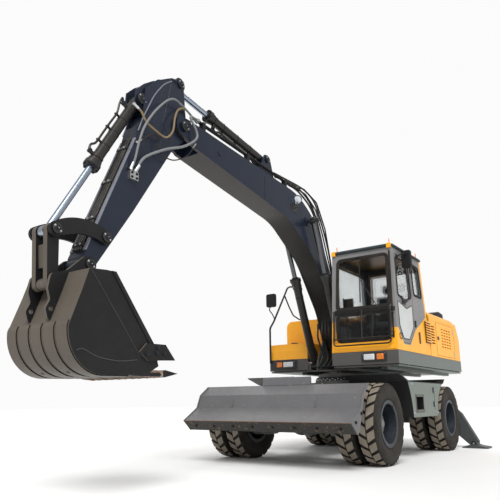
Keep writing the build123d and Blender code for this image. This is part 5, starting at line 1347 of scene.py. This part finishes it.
def add_bucket_fittings(bm, bolt):
    """The side bars, welded seams, bolts and tooth adaptors of the bucket."""
    for side in (1, -1):
        y_low, y_high = sorted((GEAR_Y + side * 0.4195, GEAR_Y + side * 0.429))
        add_plate(bm, [(4.782, 1.302), (5.262, 1.886), (5.310, 1.886), (4.840, 1.300)], y_low, y_high)
        # the seams take the welded ridges' lighter grey, partly a painted highlight
        for seam, radius in ((HEEL_SEAM, 0.004), (CHEEK_SEAM, 0.003)):
            add_hose(bm, [gear(spot, side * CHEEK) for spot in seam], radius, 3, 8, 5)
        for spot in ((4.660, 1.215), (4.760, 1.215), (4.745, 1.262), (4.880, 1.200)):
            add_bolt(bm, gear(spot, side * 0.442), (0, side, 0), bolt * 1.1, 2)
    heel = Vector((5.500, 0, 1.042))
    ahead = (Vector((5.620, 0, 1.115)) - heel).normalized()
    out = Vector((ahead.z, 0, -ahead.x))
    for index in (1, 3):
        y = 0.066 + 0.012 + index * RIDGE_PITCH - BUCKET_W / 2
        add_bolt(bm, heel + Vector((0, GEAR_Y + y, 0)) + out * 0.004, out, bolt * 1.1, 2)
    for index in range(TEETH):
        y = -BUCKET_W / 2 + 0.050 + index * TOOTH_PITCH
        for side in (1, -1):
            low, high = sorted((GEAR_Y + y + side * 0.038, GEAR_Y + y + side * 0.047))
            add_plate(bm, [(4.900, 1.000), (4.760, 0.990), (4.640, 1.006), (4.640, 1.062), (4.760, 1.064),
                           (4.900, 1.046)], low, high, 1)
        add_rod(bm, gear((4.690, 1.032), y - 0.052), gear((4.690, 1.032), y + 0.052), 0.011, 2, 12)


def add_ear_fittings(bm):
    """Wear rings round the lifting eyes and the seams at the ears' tops."""
    for side in (1, -1):
        add_spin(bm, [(-0.003, 0.021), (0.003, 0.021), (0.003, 0.033), (-0.003, 0.033)],
                 gear((5.702, 1.533), side * 0.151), (0, 1, 0), 0, 24)
        add_rod(bm, gear((5.560, 1.830), side * 0.136), gear((5.300, 1.872), side * 0.136), 0.007, 0, 8)


def add_link_bush(bm):
    """The bush in the middle of the link and its raised ring."""
    for profile in ([(-0.050, 0.0), (-0.050, 0.050), (0.050, 0.050), (0.050, 0.0)],
                    [(-0.028, 0.0), (-0.028, 0.053), (-0.020, 0.054), (-0.012, 0.053), (-0.012, 0.0)]):
        add_spin(bm, profile, gear(LINK_BUSH), (0, 1, 0), 0, 40)


class EXCAVATOR_OT_bucket_fittings(bpy.types.Operator):
    """Add the side bars, wear edges, bolts and tooth adaptors of the bucket"""

    bl_idname = "excavator.bucket_fittings"
    bl_label = "Bucket Fittings"

    def execute(self, context):
        bolt = context.scene.excavator_sizes.bolt
        build("bucket_fittings", "bucket", ("soot", "worn", "cast", "ridge"), add_bucket_fittings, bolt,
              bevel=0.0015)
        build("ear_fittings", "bucket", ("soot",), add_ear_fittings, bevel=0.001)
        build("link_bush", "h_link", ("roller",), add_link_bush, bevel=0.002)
        return {"FINISHED"}


def add_blade_fittings(bm, bolt):
    """The worn lip, end plates, spill guard, ribs and bolts of the blade."""
    add_plate(bm, [(2.650, 0.5405), (2.6545, 0.541), (2.658, 0.538), (2.513, 0.414), (2.500, 0.420),
                   (2.508, 0.426)], -BLADE_HALF, BLADE_HALF)
    for side in (1, -1):
        low, high = sorted((side * (BLADE_HALF - 0.002), side * (BLADE_HALF + 0.012)))
        add_plate(bm, [(2.120, 0.984), (2.150, 0.984), (2.318, 0.868), (2.390, 0.704), (2.664, 0.540),
                       (2.512, 0.408), (2.470, 0.440), (2.350, 0.690), (2.280, 0.855)], low, high, 1)
        for x, z in ((2.560, 0.545), (2.400, 0.640)):
            add_bolt(bm, (x, side * (BLADE_HALF + 0.012), z), (0, side, 0), bolt, 2)
    for y in BLADE_BOLTS:
        add_bolt(bm, (2.583, y, 0.474), (0.643, 0, -0.766), bolt, 2)
    add_plate(bm, [(2.099, 0.980), (2.098, 1.072), (2.110, 1.088), (2.120, 1.080), (2.1385, 0.984)],
              -0.289, 0.434, 1)
    across = Vector((0.086, 0, -0.164)).normalized()
    out = Vector((0.871, 0, 0.491)).normalized()
    for y in (-0.62, 0.62):
        middle = Vector((2.342, y, 0.783)) + out * 0.002
        rib = rectangle(-0.085, -0.006, 0.085, 0.006)
        add_loft(bm, [[middle + across * a + Vector((0, b, 0)) + out * c for a, b in rib]
                      for c in (-0.004, 0.006)], 1)
    for y in (-BLADE_HALF, BLADE_HALF):
        add_rod(bm, (2.657, y, 0.539), (2.513, y, 0.416), 0.004, 3, 6)
    add_rod(bm, (2.656, -BLADE_HALF, 0.5395), (2.656, BLADE_HALF, 0.5395), 0.0045, 3, 6)


class EXCAVATOR_OT_blade_fittings(bpy.types.Operator):
    """Add the worn lip, end plates, ribs and bolts of the blade"""

    bl_idname = "excavator.blade_fittings"
    bl_label = "Blade Fittings"

    def execute(self, context):
        build("blade_fittings", "blade", ("lip", "blade", "cast", "rusty"), add_blade_fittings,
              context.scene.excavator_sizes.bolt, bevel=0.0025)
        return {"FINISHED"}


# --- undercarriage ------------------------------------------------------------------------
RING_BOLTS = 36                       # bolts on the slew ring's flange; twice as many on its rim
BOX_FACE = 1.220                      # outer face of the step boxes from the centre plane
STEP_BARS = 7
GRIP_COLUMNS, GRIP_ROWS = 14, 3       # raised grips on top of a step box
OUTRIGGER_X = middle("stabiliser_left")[0]
# y, z, cap's radius and cap's distance from the outrigger's plane
STABILISER_PINS = ((1.000, 0.770, 0.040, 0.062), (1.405, 0.074, 0.044, 0.09486))
CHASSIS_HOSES = (
    ((1.30, 0.20, 0.985), (1.48, 0.26, 1.02), (1.66, 0.36, 0.99), (1.78, 0.40, 0.92)),
    ((-1.36, 0.10, 0.970), (-1.44, 0.09, 1.040), (-1.54, 0.06, 1.050), (-1.62, 0.05, 0.960)),
    ((0.60, 0.28, 0.972), (0.95, 0.30, 0.975), (1.30, 0.20, 0.985)),
)


def add_ring_bolts(bm):
    """The bolts on the slew ring's flange and two staggered rows round its rim."""
    for i in range(RING_BOLTS):
        a = math.tau * (i + 0.5) / RING_BOLTS
        x, y = 0.512 * math.cos(a), 0.512 * math.sin(a)
        add_rod(bm, (x, y, 1.090), (x, y, 1.1435), 0.013, 0, 6)
    # the rim's bolts are in the pale finish: a painted highlight on bolts in shade
    for i in range(2 * RING_BOLTS):
        a = math.tau * i / (2 * RING_BOLTS)
        out = Vector((math.cos(a), math.sin(a), 0))
        level = Vector((0, 0, 1.100 + 0.016 * (i % 2)))
        add_rod(bm, out * 0.536 + level, out * 0.556 + level, 0.0075, 2, 6)


def add_box_fittings(bm, bolt):
    """The lid's seam, latches, step frames and grips of both step boxes."""
    for side in (1, -1):
        face = side * BOX_FACE
        inner = face - side * 0.002
        rim = face + side * 0.006
        add_box(bm, (-0.330, inner, 0.640), (-0.324, face + side * 0.004, 0.985))
        for x, z in ((-0.284, 0.724), (-0.284, 0.930)):
            add_box(bm, (x - 0.022, inner, z - 0.040), (x + 0.022, face + side * 0.010, z + 0.040), 1)
            add_rod(bm, (x, face, z), (x, face + side * 0.022, z), 0.014, 2, 16)
        for z in (0.630, 0.838):
            add_box(bm, (0.186, inner, z - 0.010), (0.524, rim, z + 0.022))
        for x in (0.186, 0.506):
            add_box(bm, (x, inner, 0.620), (x + 0.018, rim, 0.860))
        add_box(bm, (0.200, face - side * 0.120, 0.622), (0.510, face - side * 0.010, 0.632), 3)
        for k in range(STEP_BARS):
            x = 0.215 + k * 0.046
            add_rod(bm, (x, face - side * 0.110, 0.634), (x, face - side * 0.014, 0.634), 0.004, 3, 6)
        for k in range(GRIP_COLUMNS):
            x = -0.42 + k * 0.088
            for row in range(GRIP_ROWS):
                y = side * (0.98 + row * 0.09)
                add_rod(bm, (x, y, 1.047), (x + 0.035, y + side * 0.03, 1.052), 0.005, 3, 6)
        for x in (-0.46, 0.62):
            for z in (0.60, 1.00):
                add_bolt(bm, (x, face, z), (0, side, 0), bolt * 0.8, 2)


def add_chassis_hoses(bm, radius):
    """The brake and lift hoses along both sides of the chassis."""
    for side in (1, -1):
        for route in CHASSIS_HOSES:
            add_hose(bm, [(x, side * y, z) for x, y, z in route], radius)


def add_stabiliser_fittings(bm, side, bolt):
    """The pin caps and foot bolts of one stabiliser."""
    for away in (-1, 1):
        out = Vector((away, 0, 0))
        for y, z, radius, reach in STABILISER_PINS:
            centre = Vector((OUTRIGGER_X + away * reach, side * y, z))
            add_spin(bm, [(0.0, 0.0), (0.0, radius), (0.008, radius - 0.003), (0.008, 0.0)],
                     centre - out * 0.006, out, 0, 24)
            add_bolt(bm, centre, out, bolt * 0.8, 1)
    for dx in (-0.12, 0.12):
        for y in (1.27, 1.60):
            add_bolt(bm, (OUTRIGGER_X + dx, side * y, 0.020), (0, 0, 1), bolt * 0.7, 1)


class EXCAVATOR_OT_undercarriage(bpy.types.Operator):
    """Add the ring's bolts, the boxes' latches and treads, and the hoses below"""

    bl_idname = "excavator.undercarriage"
    bl_label = "Undercarriage Details"

    def execute(self, context):
        sizes = context.scene.excavator_sizes
        # the third finish is the pale one, a painted highlight on the rim's bolts
        build("ring_bolts", "chassis", ("steel", "cast", "pale"), add_ring_bolts)
        build("box_fittings", "chassis", ("chassis", "plastic", "chrome", "soot"), add_box_fittings,
              sizes.bolt, bevel=0.0015)
        build("chassis_hoses", "chassis", ("hose",), add_chassis_hoses, sizes.hose * 0.8)
        for hand, side in HANDS.items():
            build(f"stabiliser_fittings_{hand}", f"stabiliser_{hand}", ("soot", "steel"),
                  add_stabiliser_fittings, side, sizes.bolt, bevel=0.001)
        return {"FINISHED"}


# --- inside of the cab --------------------------------------------------------------------
SEAT_Y = middle("seat")[1]
BELLOWS = 6                           # folds below the seat
MAT_RIBS = 24
CLOTH_STEPS = 12                      # how long the cushions swell
PRESSURE = {"seat_cushion": 3.0, "seat_back": 3.0, "seat_headrest": 2.0}
# wall, its ends and its heights for each panel inside the cab's lower walls
LINING = (("front", 0.30, 1.50, 1.16, 1.60), ("right", -0.15, 1.50, 0.90, 1.86),
          ("left", 0.60, 1.50, 0.82, 1.53), ("rear", 0.32, 1.50, 1.14, 2.10))


def add_cushion_block(bm, low, high, turn, pivot):
    """A plain block for a cushion to swell from, leaning about a pivot."""
    add_box(bm, low, high)
    bmesh.ops.recalc_face_normals(bm, faces=bm.faces)
    bmesh.ops.rotate(bm, cent=pivot, matrix=Matrix.Rotation(turn, 3, "Y"), verts=bm.verts)


def puffed(name, low, high, turn=0.0, pivot=(0, 0, 0)):
    """A padded cushion: a rounded block that is swelled by cloth pressure."""
    piece = build(name, "upper", ("cloth",), add_cushion_block, low, high, turn, pivot)
    bpy.context.view_layer.objects.active = piece
    edge = piece.modifiers.new("Rounded", "BEVEL")
    edge.width = 0.030
    edge.segments = 3
    remesh = piece.modifiers.new("Remesh", "REMESH")
    remesh.mode = "VOXEL"
    remesh.voxel_size = 0.012
    cloth = piece.modifiers.new("Cloth", "CLOTH")
    cloth.settings.use_pressure = True
    cloth.settings.uniform_pressure_force = PRESSURE[name]
    cloth.settings.effector_weights.gravity = 0.0
    cloth.settings.quality = 4
    for step in range(1, CLOTH_STEPS + 1):
        bpy.context.scene.frame_set(step)
    depsgraph = bpy.context.evaluated_depsgraph_get()
    padded = bpy.data.meshes.new_from_object(piece.evaluated_get(depsgraph))
    piece.modifiers.clear()
    piece.data = padded
    bpy.context.scene.frame_set(1)
    smooth = piece.modifiers.new("Soft", "SMOOTH")
    smooth.iterations = 4
    piece.data.shade_smooth()
    return piece


def add_seat_frame(bm):
    """The seat's pan, bellows, headrest posts and armrests."""
    add_box(bm, (0.10, 0.54, 1.745), (0.50, 0.94, 1.790))
    for k in range(BELLOWS):
        z = 1.500 + k * 0.040
        fold = 0.006 * (k % 2)
        add_box(bm, (0.14 + fold, 0.57 + fold, z), (0.46 - fold, 0.91 - fold, z + 0.036))
    for y in (0.66, 0.82):
        add_rod(bm, (-0.035, y, 2.36), (-0.055, y, 2.50), 0.008, 1, 10)
    for side in (1, -1):
        y = SEAT_Y + side * 0.27
        add_box(bm, (0.02, y - 0.035, 2.055), (0.33, y + 0.035, 2.095))
        add_rod(bm, (0.04, y, 1.90), (0.02, y, 2.07), 0.016, 0, 12)


def add_cab_inside(bm):
    """The lining, ribbed mat, levers, pedals, monitor and the steering wheel's boss."""
    for wall, *sides in LINING:
        add_wall_panel(bm, wall, rectangle(*sides), -0.048, -0.056)
    add_box(bm, (-0.20, 0.32, 1.487), (1.02, 1.14, 1.496), 1)
    for k in range(MAT_RIBS):
        x = -0.17 + k * 0.05
        add_rod(bm, (x, 0.34, 1.497), (x, 1.12, 1.497), 0.004, 1, 6)
    for y in (0.39, 1.06):
        add_hose(bm, [(0.48, y, 1.955), (0.50, y, 2.03), (0.49, y, 2.10)], 0.009, 1)
        add_spin(bm, [(0.0, 0.0), (0.0, 0.020), (0.035, 0.026), (0.085, 0.024), (0.105, 0.014), (0.108, 0.0)],
                 (0.49, y, 2.095), (0, 0, 1), 2, 20)
        add_spin(bm, [(0.0, 0.0), (0.0, 0.040), (0.012, 0.034), (0.040, 0.014), (0.040, 0.0)],
                 (0.48, y, 1.955), (0, 0, 1), 1, 20)
    for y in (0.62, 0.86):
        add_hose(bm, [(0.90, y, 1.49), (0.87, y, 1.62), (0.83, y, 1.72)], 0.010, 1)
        add_box(bm, (0.800, y - 0.045, 1.715), (0.850, y + 0.045, 1.735), 1)
    add_box(bm, (0.795, 0.325, 2.115), (0.835, 0.335, 2.290), 1)
    add_box(bm, (0.770, 0.320, 2.135), (0.800, 0.470, 2.280), 2)
    add_rod(bm, (0.80, 0.36, 1.49), (0.80, 0.36, 2.14), 0.012, 1, 10)
    add_spin(bm, [(0.0, 0.0), (0.0, 0.048), (0.016, 0.044), (0.024, 0.0)], (0.688, 0.735, 2.082),
             (-0.21, 0, 0.98), 2, 24)


class EXCAVATOR_OT_cab_inside(bpy.types.Operator):
    """Add the padded seat, the lining, the levers, the wheel's boss and the monitor"""

    bl_idname = "excavator.cab_inside"
    bl_label = "Cab Inside"

    def execute(self, context):
        cushion = puffed("seat_cushion", (0.07, 0.515, 1.795), (0.515, 0.965, 1.895))
        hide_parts("seat")
        puffed("seat_back", (-0.02, 0.525, 1.905), (0.085, 0.955, 2.405), -0.10, (0.03, SEAT_Y, 1.90))
        puffed("seat_headrest", (-0.090, 0.62, 2.44), (-0.010, 0.86, 2.58))
        build("seat_frame", "upper", ("plastic", "steel"), add_seat_frame, bevel=0.006)
        build("cab_inside", "upper", ("trim", "plastic", "gasket"), add_cab_inside, bevel=0.003)
        return {"FINISHED"}


# --- lamps and mirrors --------------------------------------------------------------------
LAMP_LOW, LAMP_HIGH = 1.315, 1.425    # heights of the lamp clusters
# face, ends of the cluster, ends of its clear and its amber lens, and the plate behind it
DECK_LAMPS = (
    (1.094, (0.705, 1.050), (0.731, 0.887), (0.921, 1.018), None),
    (0.471, (-1.110, -0.745), (-0.960, -0.780), (-1.085, -0.985), (-1.210, 1.285, -0.700, 1.447)),
)
TANK_BARS = 5
# hand, body, centre, width and height of each mirror's glass
MIRRORS = (("right", "upper", (0.520, -1.157, 2.465), 0.161, 0.206),
           ("left", "cab_door", (0.630, 1.271, 2.796), 0.120, 0.246))


def add_deck_lamps(bm, bolt):
    """The lamp clusters in the skirt below the cab and in the tank's foot."""
    middle = (LAMP_LOW + LAMP_HIGH) / 2
    for face, (y_low, y_high), clear, amber, plate in DECK_LAMPS:
        if plate:
            add_cross_plate(bm, rounded(rectangle(*plate), 0.03), face - 0.010, face + 0.006)
        housing = rectangle(y_low - 0.012, LAMP_LOW - 0.010, y_high + 0.012, LAMP_HIGH + 0.010)
        add_cross_plate(bm, rounded(housing, 0.03), face - 0.010, face + 0.012)
        for (a, b), slot in ((clear, 1), (amber, 2)):
            centre = (a + b) / 2
            ring = rounded(rectangle(a, LAMP_LOW + 0.014, b, LAMP_HIGH - 0.014), 0.014)
            dome = [(centre + (y - centre) * 0.9, middle + (z - middle) * 0.86) for y, z in ring]
            add_loft(bm, [[(face + out, y, z) for y, z in outline]
                          for out, outline in ((0.006, ring), (0.020, ring), (0.026, dome))], slot)
        for y in (y_low + 0.010, y_high - 0.010):
            add_bolt(bm, (face + 0.010, y, LAMP_HIGH - 0.012), (1, 0, 0), bolt * 0.4, 3)


def add_tank_fittings(bm):
    """The filler cap, edge strips and anti-slip bars on the tank."""
    add_spin(bm, [(0.0, 0.0), (0.0, 0.075), (0.020, 0.075), (0.026, 0.062), (0.042, 0.058), (0.046, 0.0)],
             (0.20, -0.90, 1.706), (0, 0, 1), 0, 32)
    for x in (0.02, 0.40):
        add_box(bm, (x - 0.012, -1.15, 1.7055), (x + 0.012, -0.56, 1.712), 1)
    for k in range(TANK_BARS):
        add_box(bm, (0.05, -1.12 + k * 0.10, 1.706), (0.37, -1.085 + k * 0.10, 1.7105), 2)


def add_mirror_glass(bm, centre, width, height):
    """A mirror's thin glass with rounded corners."""
    x, y, z = centre
    outline = rounded(rectangle(-width / 2, -height / 2, width / 2, height / 2), 0.03)
    add_cross_plate(bm, [(y + a, z + b) for a, b in outline], x - 0.0185, x - 0.0205)


class EXCAVATOR_OT_lamps(bpy.types.Operator):
    """Add the lamps of the deck's front, the tank's fittings and the mirrors' glass"""

    bl_idname = "excavator.lamps"
    bl_label = "Lamps"

    def execute(self, context):
        build("deck_lamps", "upper", ("plastic", "clear", "amber", "steel"), add_deck_lamps,
              context.scene.excavator_sizes.bolt, bevel=0.0015)
        build("tank_fittings", "upper", ("plastic", "yellow", "soot"), add_tank_fittings, bevel=0.0015)
        for hand, body, centre, width, height in MIRRORS:
            build(f"mirror_glass_{hand}", body, ("silver",), add_mirror_glass, centre, width, height)
        return {"FINISHED"}


# --- stage --------------------------------------------------------------------------------
# name, place, spread and strength of the lamps
SUNS = (("key", (7.0, 4.0, 9.5), 0.45, 2.3), ("fill", (3.5, 11.0, 5.0), 0.6, 0.8),
        ("back", (-9.0, -7.0, 8.0), 0.5, 0.8))
SKY_LIGHT, SKY_LOOK = 0.62, 0.97      # strength of the sky as a lamp and as it is seen
CAMERA_SPOT = Vector((8.4474, 3.9057, 0.7759))
CAMERA_YAW, CAMERA_PITCH, CAMERA_ROLL = -2.5188, 0.2237, -0.0073


def make_floor(scene):
    """A wide pale floor."""
    bm = bmesh.new()
    bmesh.ops.create_grid(bm, x_segments=8, y_segments=8, size=60)
    mesh = bpy.data.meshes.new("floor")
    bm.to_mesh(mesh)
    bm.free()
    floor = bpy.data.objects.new("floor", mesh)
    floor.location.z = -0.001
    scene.collection.objects.link(floor)
    tree = Tree("pale floor")
    tree.shape(Base_Color=tree.blend(tree.noise(0.8), (0.78, 0.78, 0.77, 1.0), (0.82, 0.82, 0.81, 1.0)),
               Roughness=0.9)
    mesh.materials.append(tree.material)


def make_sky(scene):
    """A soft even sky that looks near white behind the machine."""
    world = bpy.data.worlds.new("sky")
    world.use_nodes = True
    scene.world = world
    nodes, links = world.node_tree.nodes, world.node_tree.links
    path = nodes.new("ShaderNodeLightPath")
    strength = nodes.new("ShaderNodeMapRange")
    strength.inputs["To Min"].default_value = SKY_LIGHT
    strength.inputs["To Max"].default_value = SKY_LOOK
    links.new(path.outputs["Is Camera Ray"], strength.inputs["Value"])
    sky = nodes["Background"]
    sky.inputs["Color"].default_value = (1.0, 1.0, 1.0, 1.0)
    links.new(strength.outputs["Result"], sky.inputs["Strength"])


def make_suns(scene):
    """The three soft lamps, each shining from its place to the machine."""
    for name, spot, spread, strength in SUNS:
        lamp = bpy.data.lights.new(name, "SUN")
        lamp.angle = spread
        lamp.energy = strength
        light = bpy.data.objects.new(name, lamp)
        light.location = spot
        light.rotation_euler = Vector(spot).to_track_quat("Z", "Y").to_euler()
        scene.collection.objects.link(light)


def make_camera(scene):
    """A low camera ahead of the blade, on the cab's side."""
    data = bpy.data.cameras.new("camera")
    data.sensor_width = 36.0
    data.lens = 40.04
    data.shift_x = 0.0179
    data.shift_y = 0.0508
    data.clip_end = 300.0
    camera = bpy.data.objects.new("camera", data)
    ahead = Vector((math.cos(CAMERA_YAW) * math.cos(CAMERA_PITCH),
                    math.sin(CAMERA_YAW) * math.cos(CAMERA_PITCH), math.sin(CAMERA_PITCH)))
    right = Vector((math.sin(CAMERA_YAW), -math.cos(CAMERA_YAW), 0.0))
    up = right.cross(ahead)
    c, s = math.cos(CAMERA_ROLL), math.sin(CAMERA_ROLL)
    right, up = right * c + up * s, up * c - right * s
    turn = Matrix((right, up, -ahead)).transposed()
    camera.matrix_world = Matrix.Translation(CAMERA_SPOT + SHIFT) @ turn.to_4x4()
    scene.collection.objects.link(camera)
    scene.camera = camera


class EXCAVATOR_OT_stage(bpy.types.Operator):
    """Add the floor, the lamps, the sky and the camera"""

    bl_idname = "excavator.stage"
    bl_label = "Stage"

    def execute(self, context):
        scene = context.scene
        scene.view_settings.view_transform = "Standard"
        make_floor(scene)
        make_sky(scene)
        make_suns(scene)
        make_camera(scene)
        return {"FINISHED"}


# --- add-on -------------------------------------------------------------------------------
OPERATORS = (
    EXCAVATOR_OT_finish_frame,
    EXCAVATOR_OT_tyres,
    EXCAVATOR_OT_wheel_fittings,
    EXCAVATOR_OT_cab_trim,
    EXCAVATOR_OT_hoods,
    EXCAVATOR_OT_pins,
    EXCAVATOR_OT_cylinder_fittings,
    EXCAVATOR_OT_boom_fittings,
    EXCAVATOR_OT_arm_fittings,
    EXCAVATOR_OT_bucket_fittings,
    EXCAVATOR_OT_blade_fittings,
    EXCAVATOR_OT_undercarriage,
    EXCAVATOR_OT_cab_inside,
    EXCAVATOR_OT_lamps,
    EXCAVATOR_OT_stage,
)


class EXCAVATOR_PT_panel(bpy.types.Panel):
    """Lists the excavator's settings and pieces"""

    bl_idname = "EXCAVATOR_PT_panel"
    bl_label = "Excavator"
    bl_space_type = "VIEW_3D"
    bl_region_type = "UI"
    bl_category = "Excavator"

    def draw(self, context):
        for group in (context.scene.excavator_colours, context.scene.excavator_sizes):
            for key in group.__annotations__:
                self.layout.prop(group, key)
        for operator in OPERATORS:
            self.layout.operator(operator.bl_idname)


CLASSES = (ExcavatorColours, ExcavatorSizes) + OPERATORS + (EXCAVATOR_PT_panel,)


def register():
    """Registers the classes and the settings."""
    for cls in CLASSES:
        bpy.utils.register_class(cls)
    bpy.types.Scene.excavator_colours = PointerProperty(type=ExcavatorColours)
    bpy.types.Scene.excavator_sizes = PointerProperty(type=ExcavatorSizes)


def unregister():
    """Removes the settings and the classes."""
    del bpy.types.Scene.excavator_sizes
    del bpy.types.Scene.excavator_colours
    for cls in reversed(CLASSES):
        bpy.utils.unregister_class(cls)


def main():
    """Builds every piece."""
    register()
    for operator in OPERATORS:
        group, action = operator.bl_idname.split(".")
        getattr(getattr(bpy.ops, group), action)()


if __name__ == "__main__":
    main()
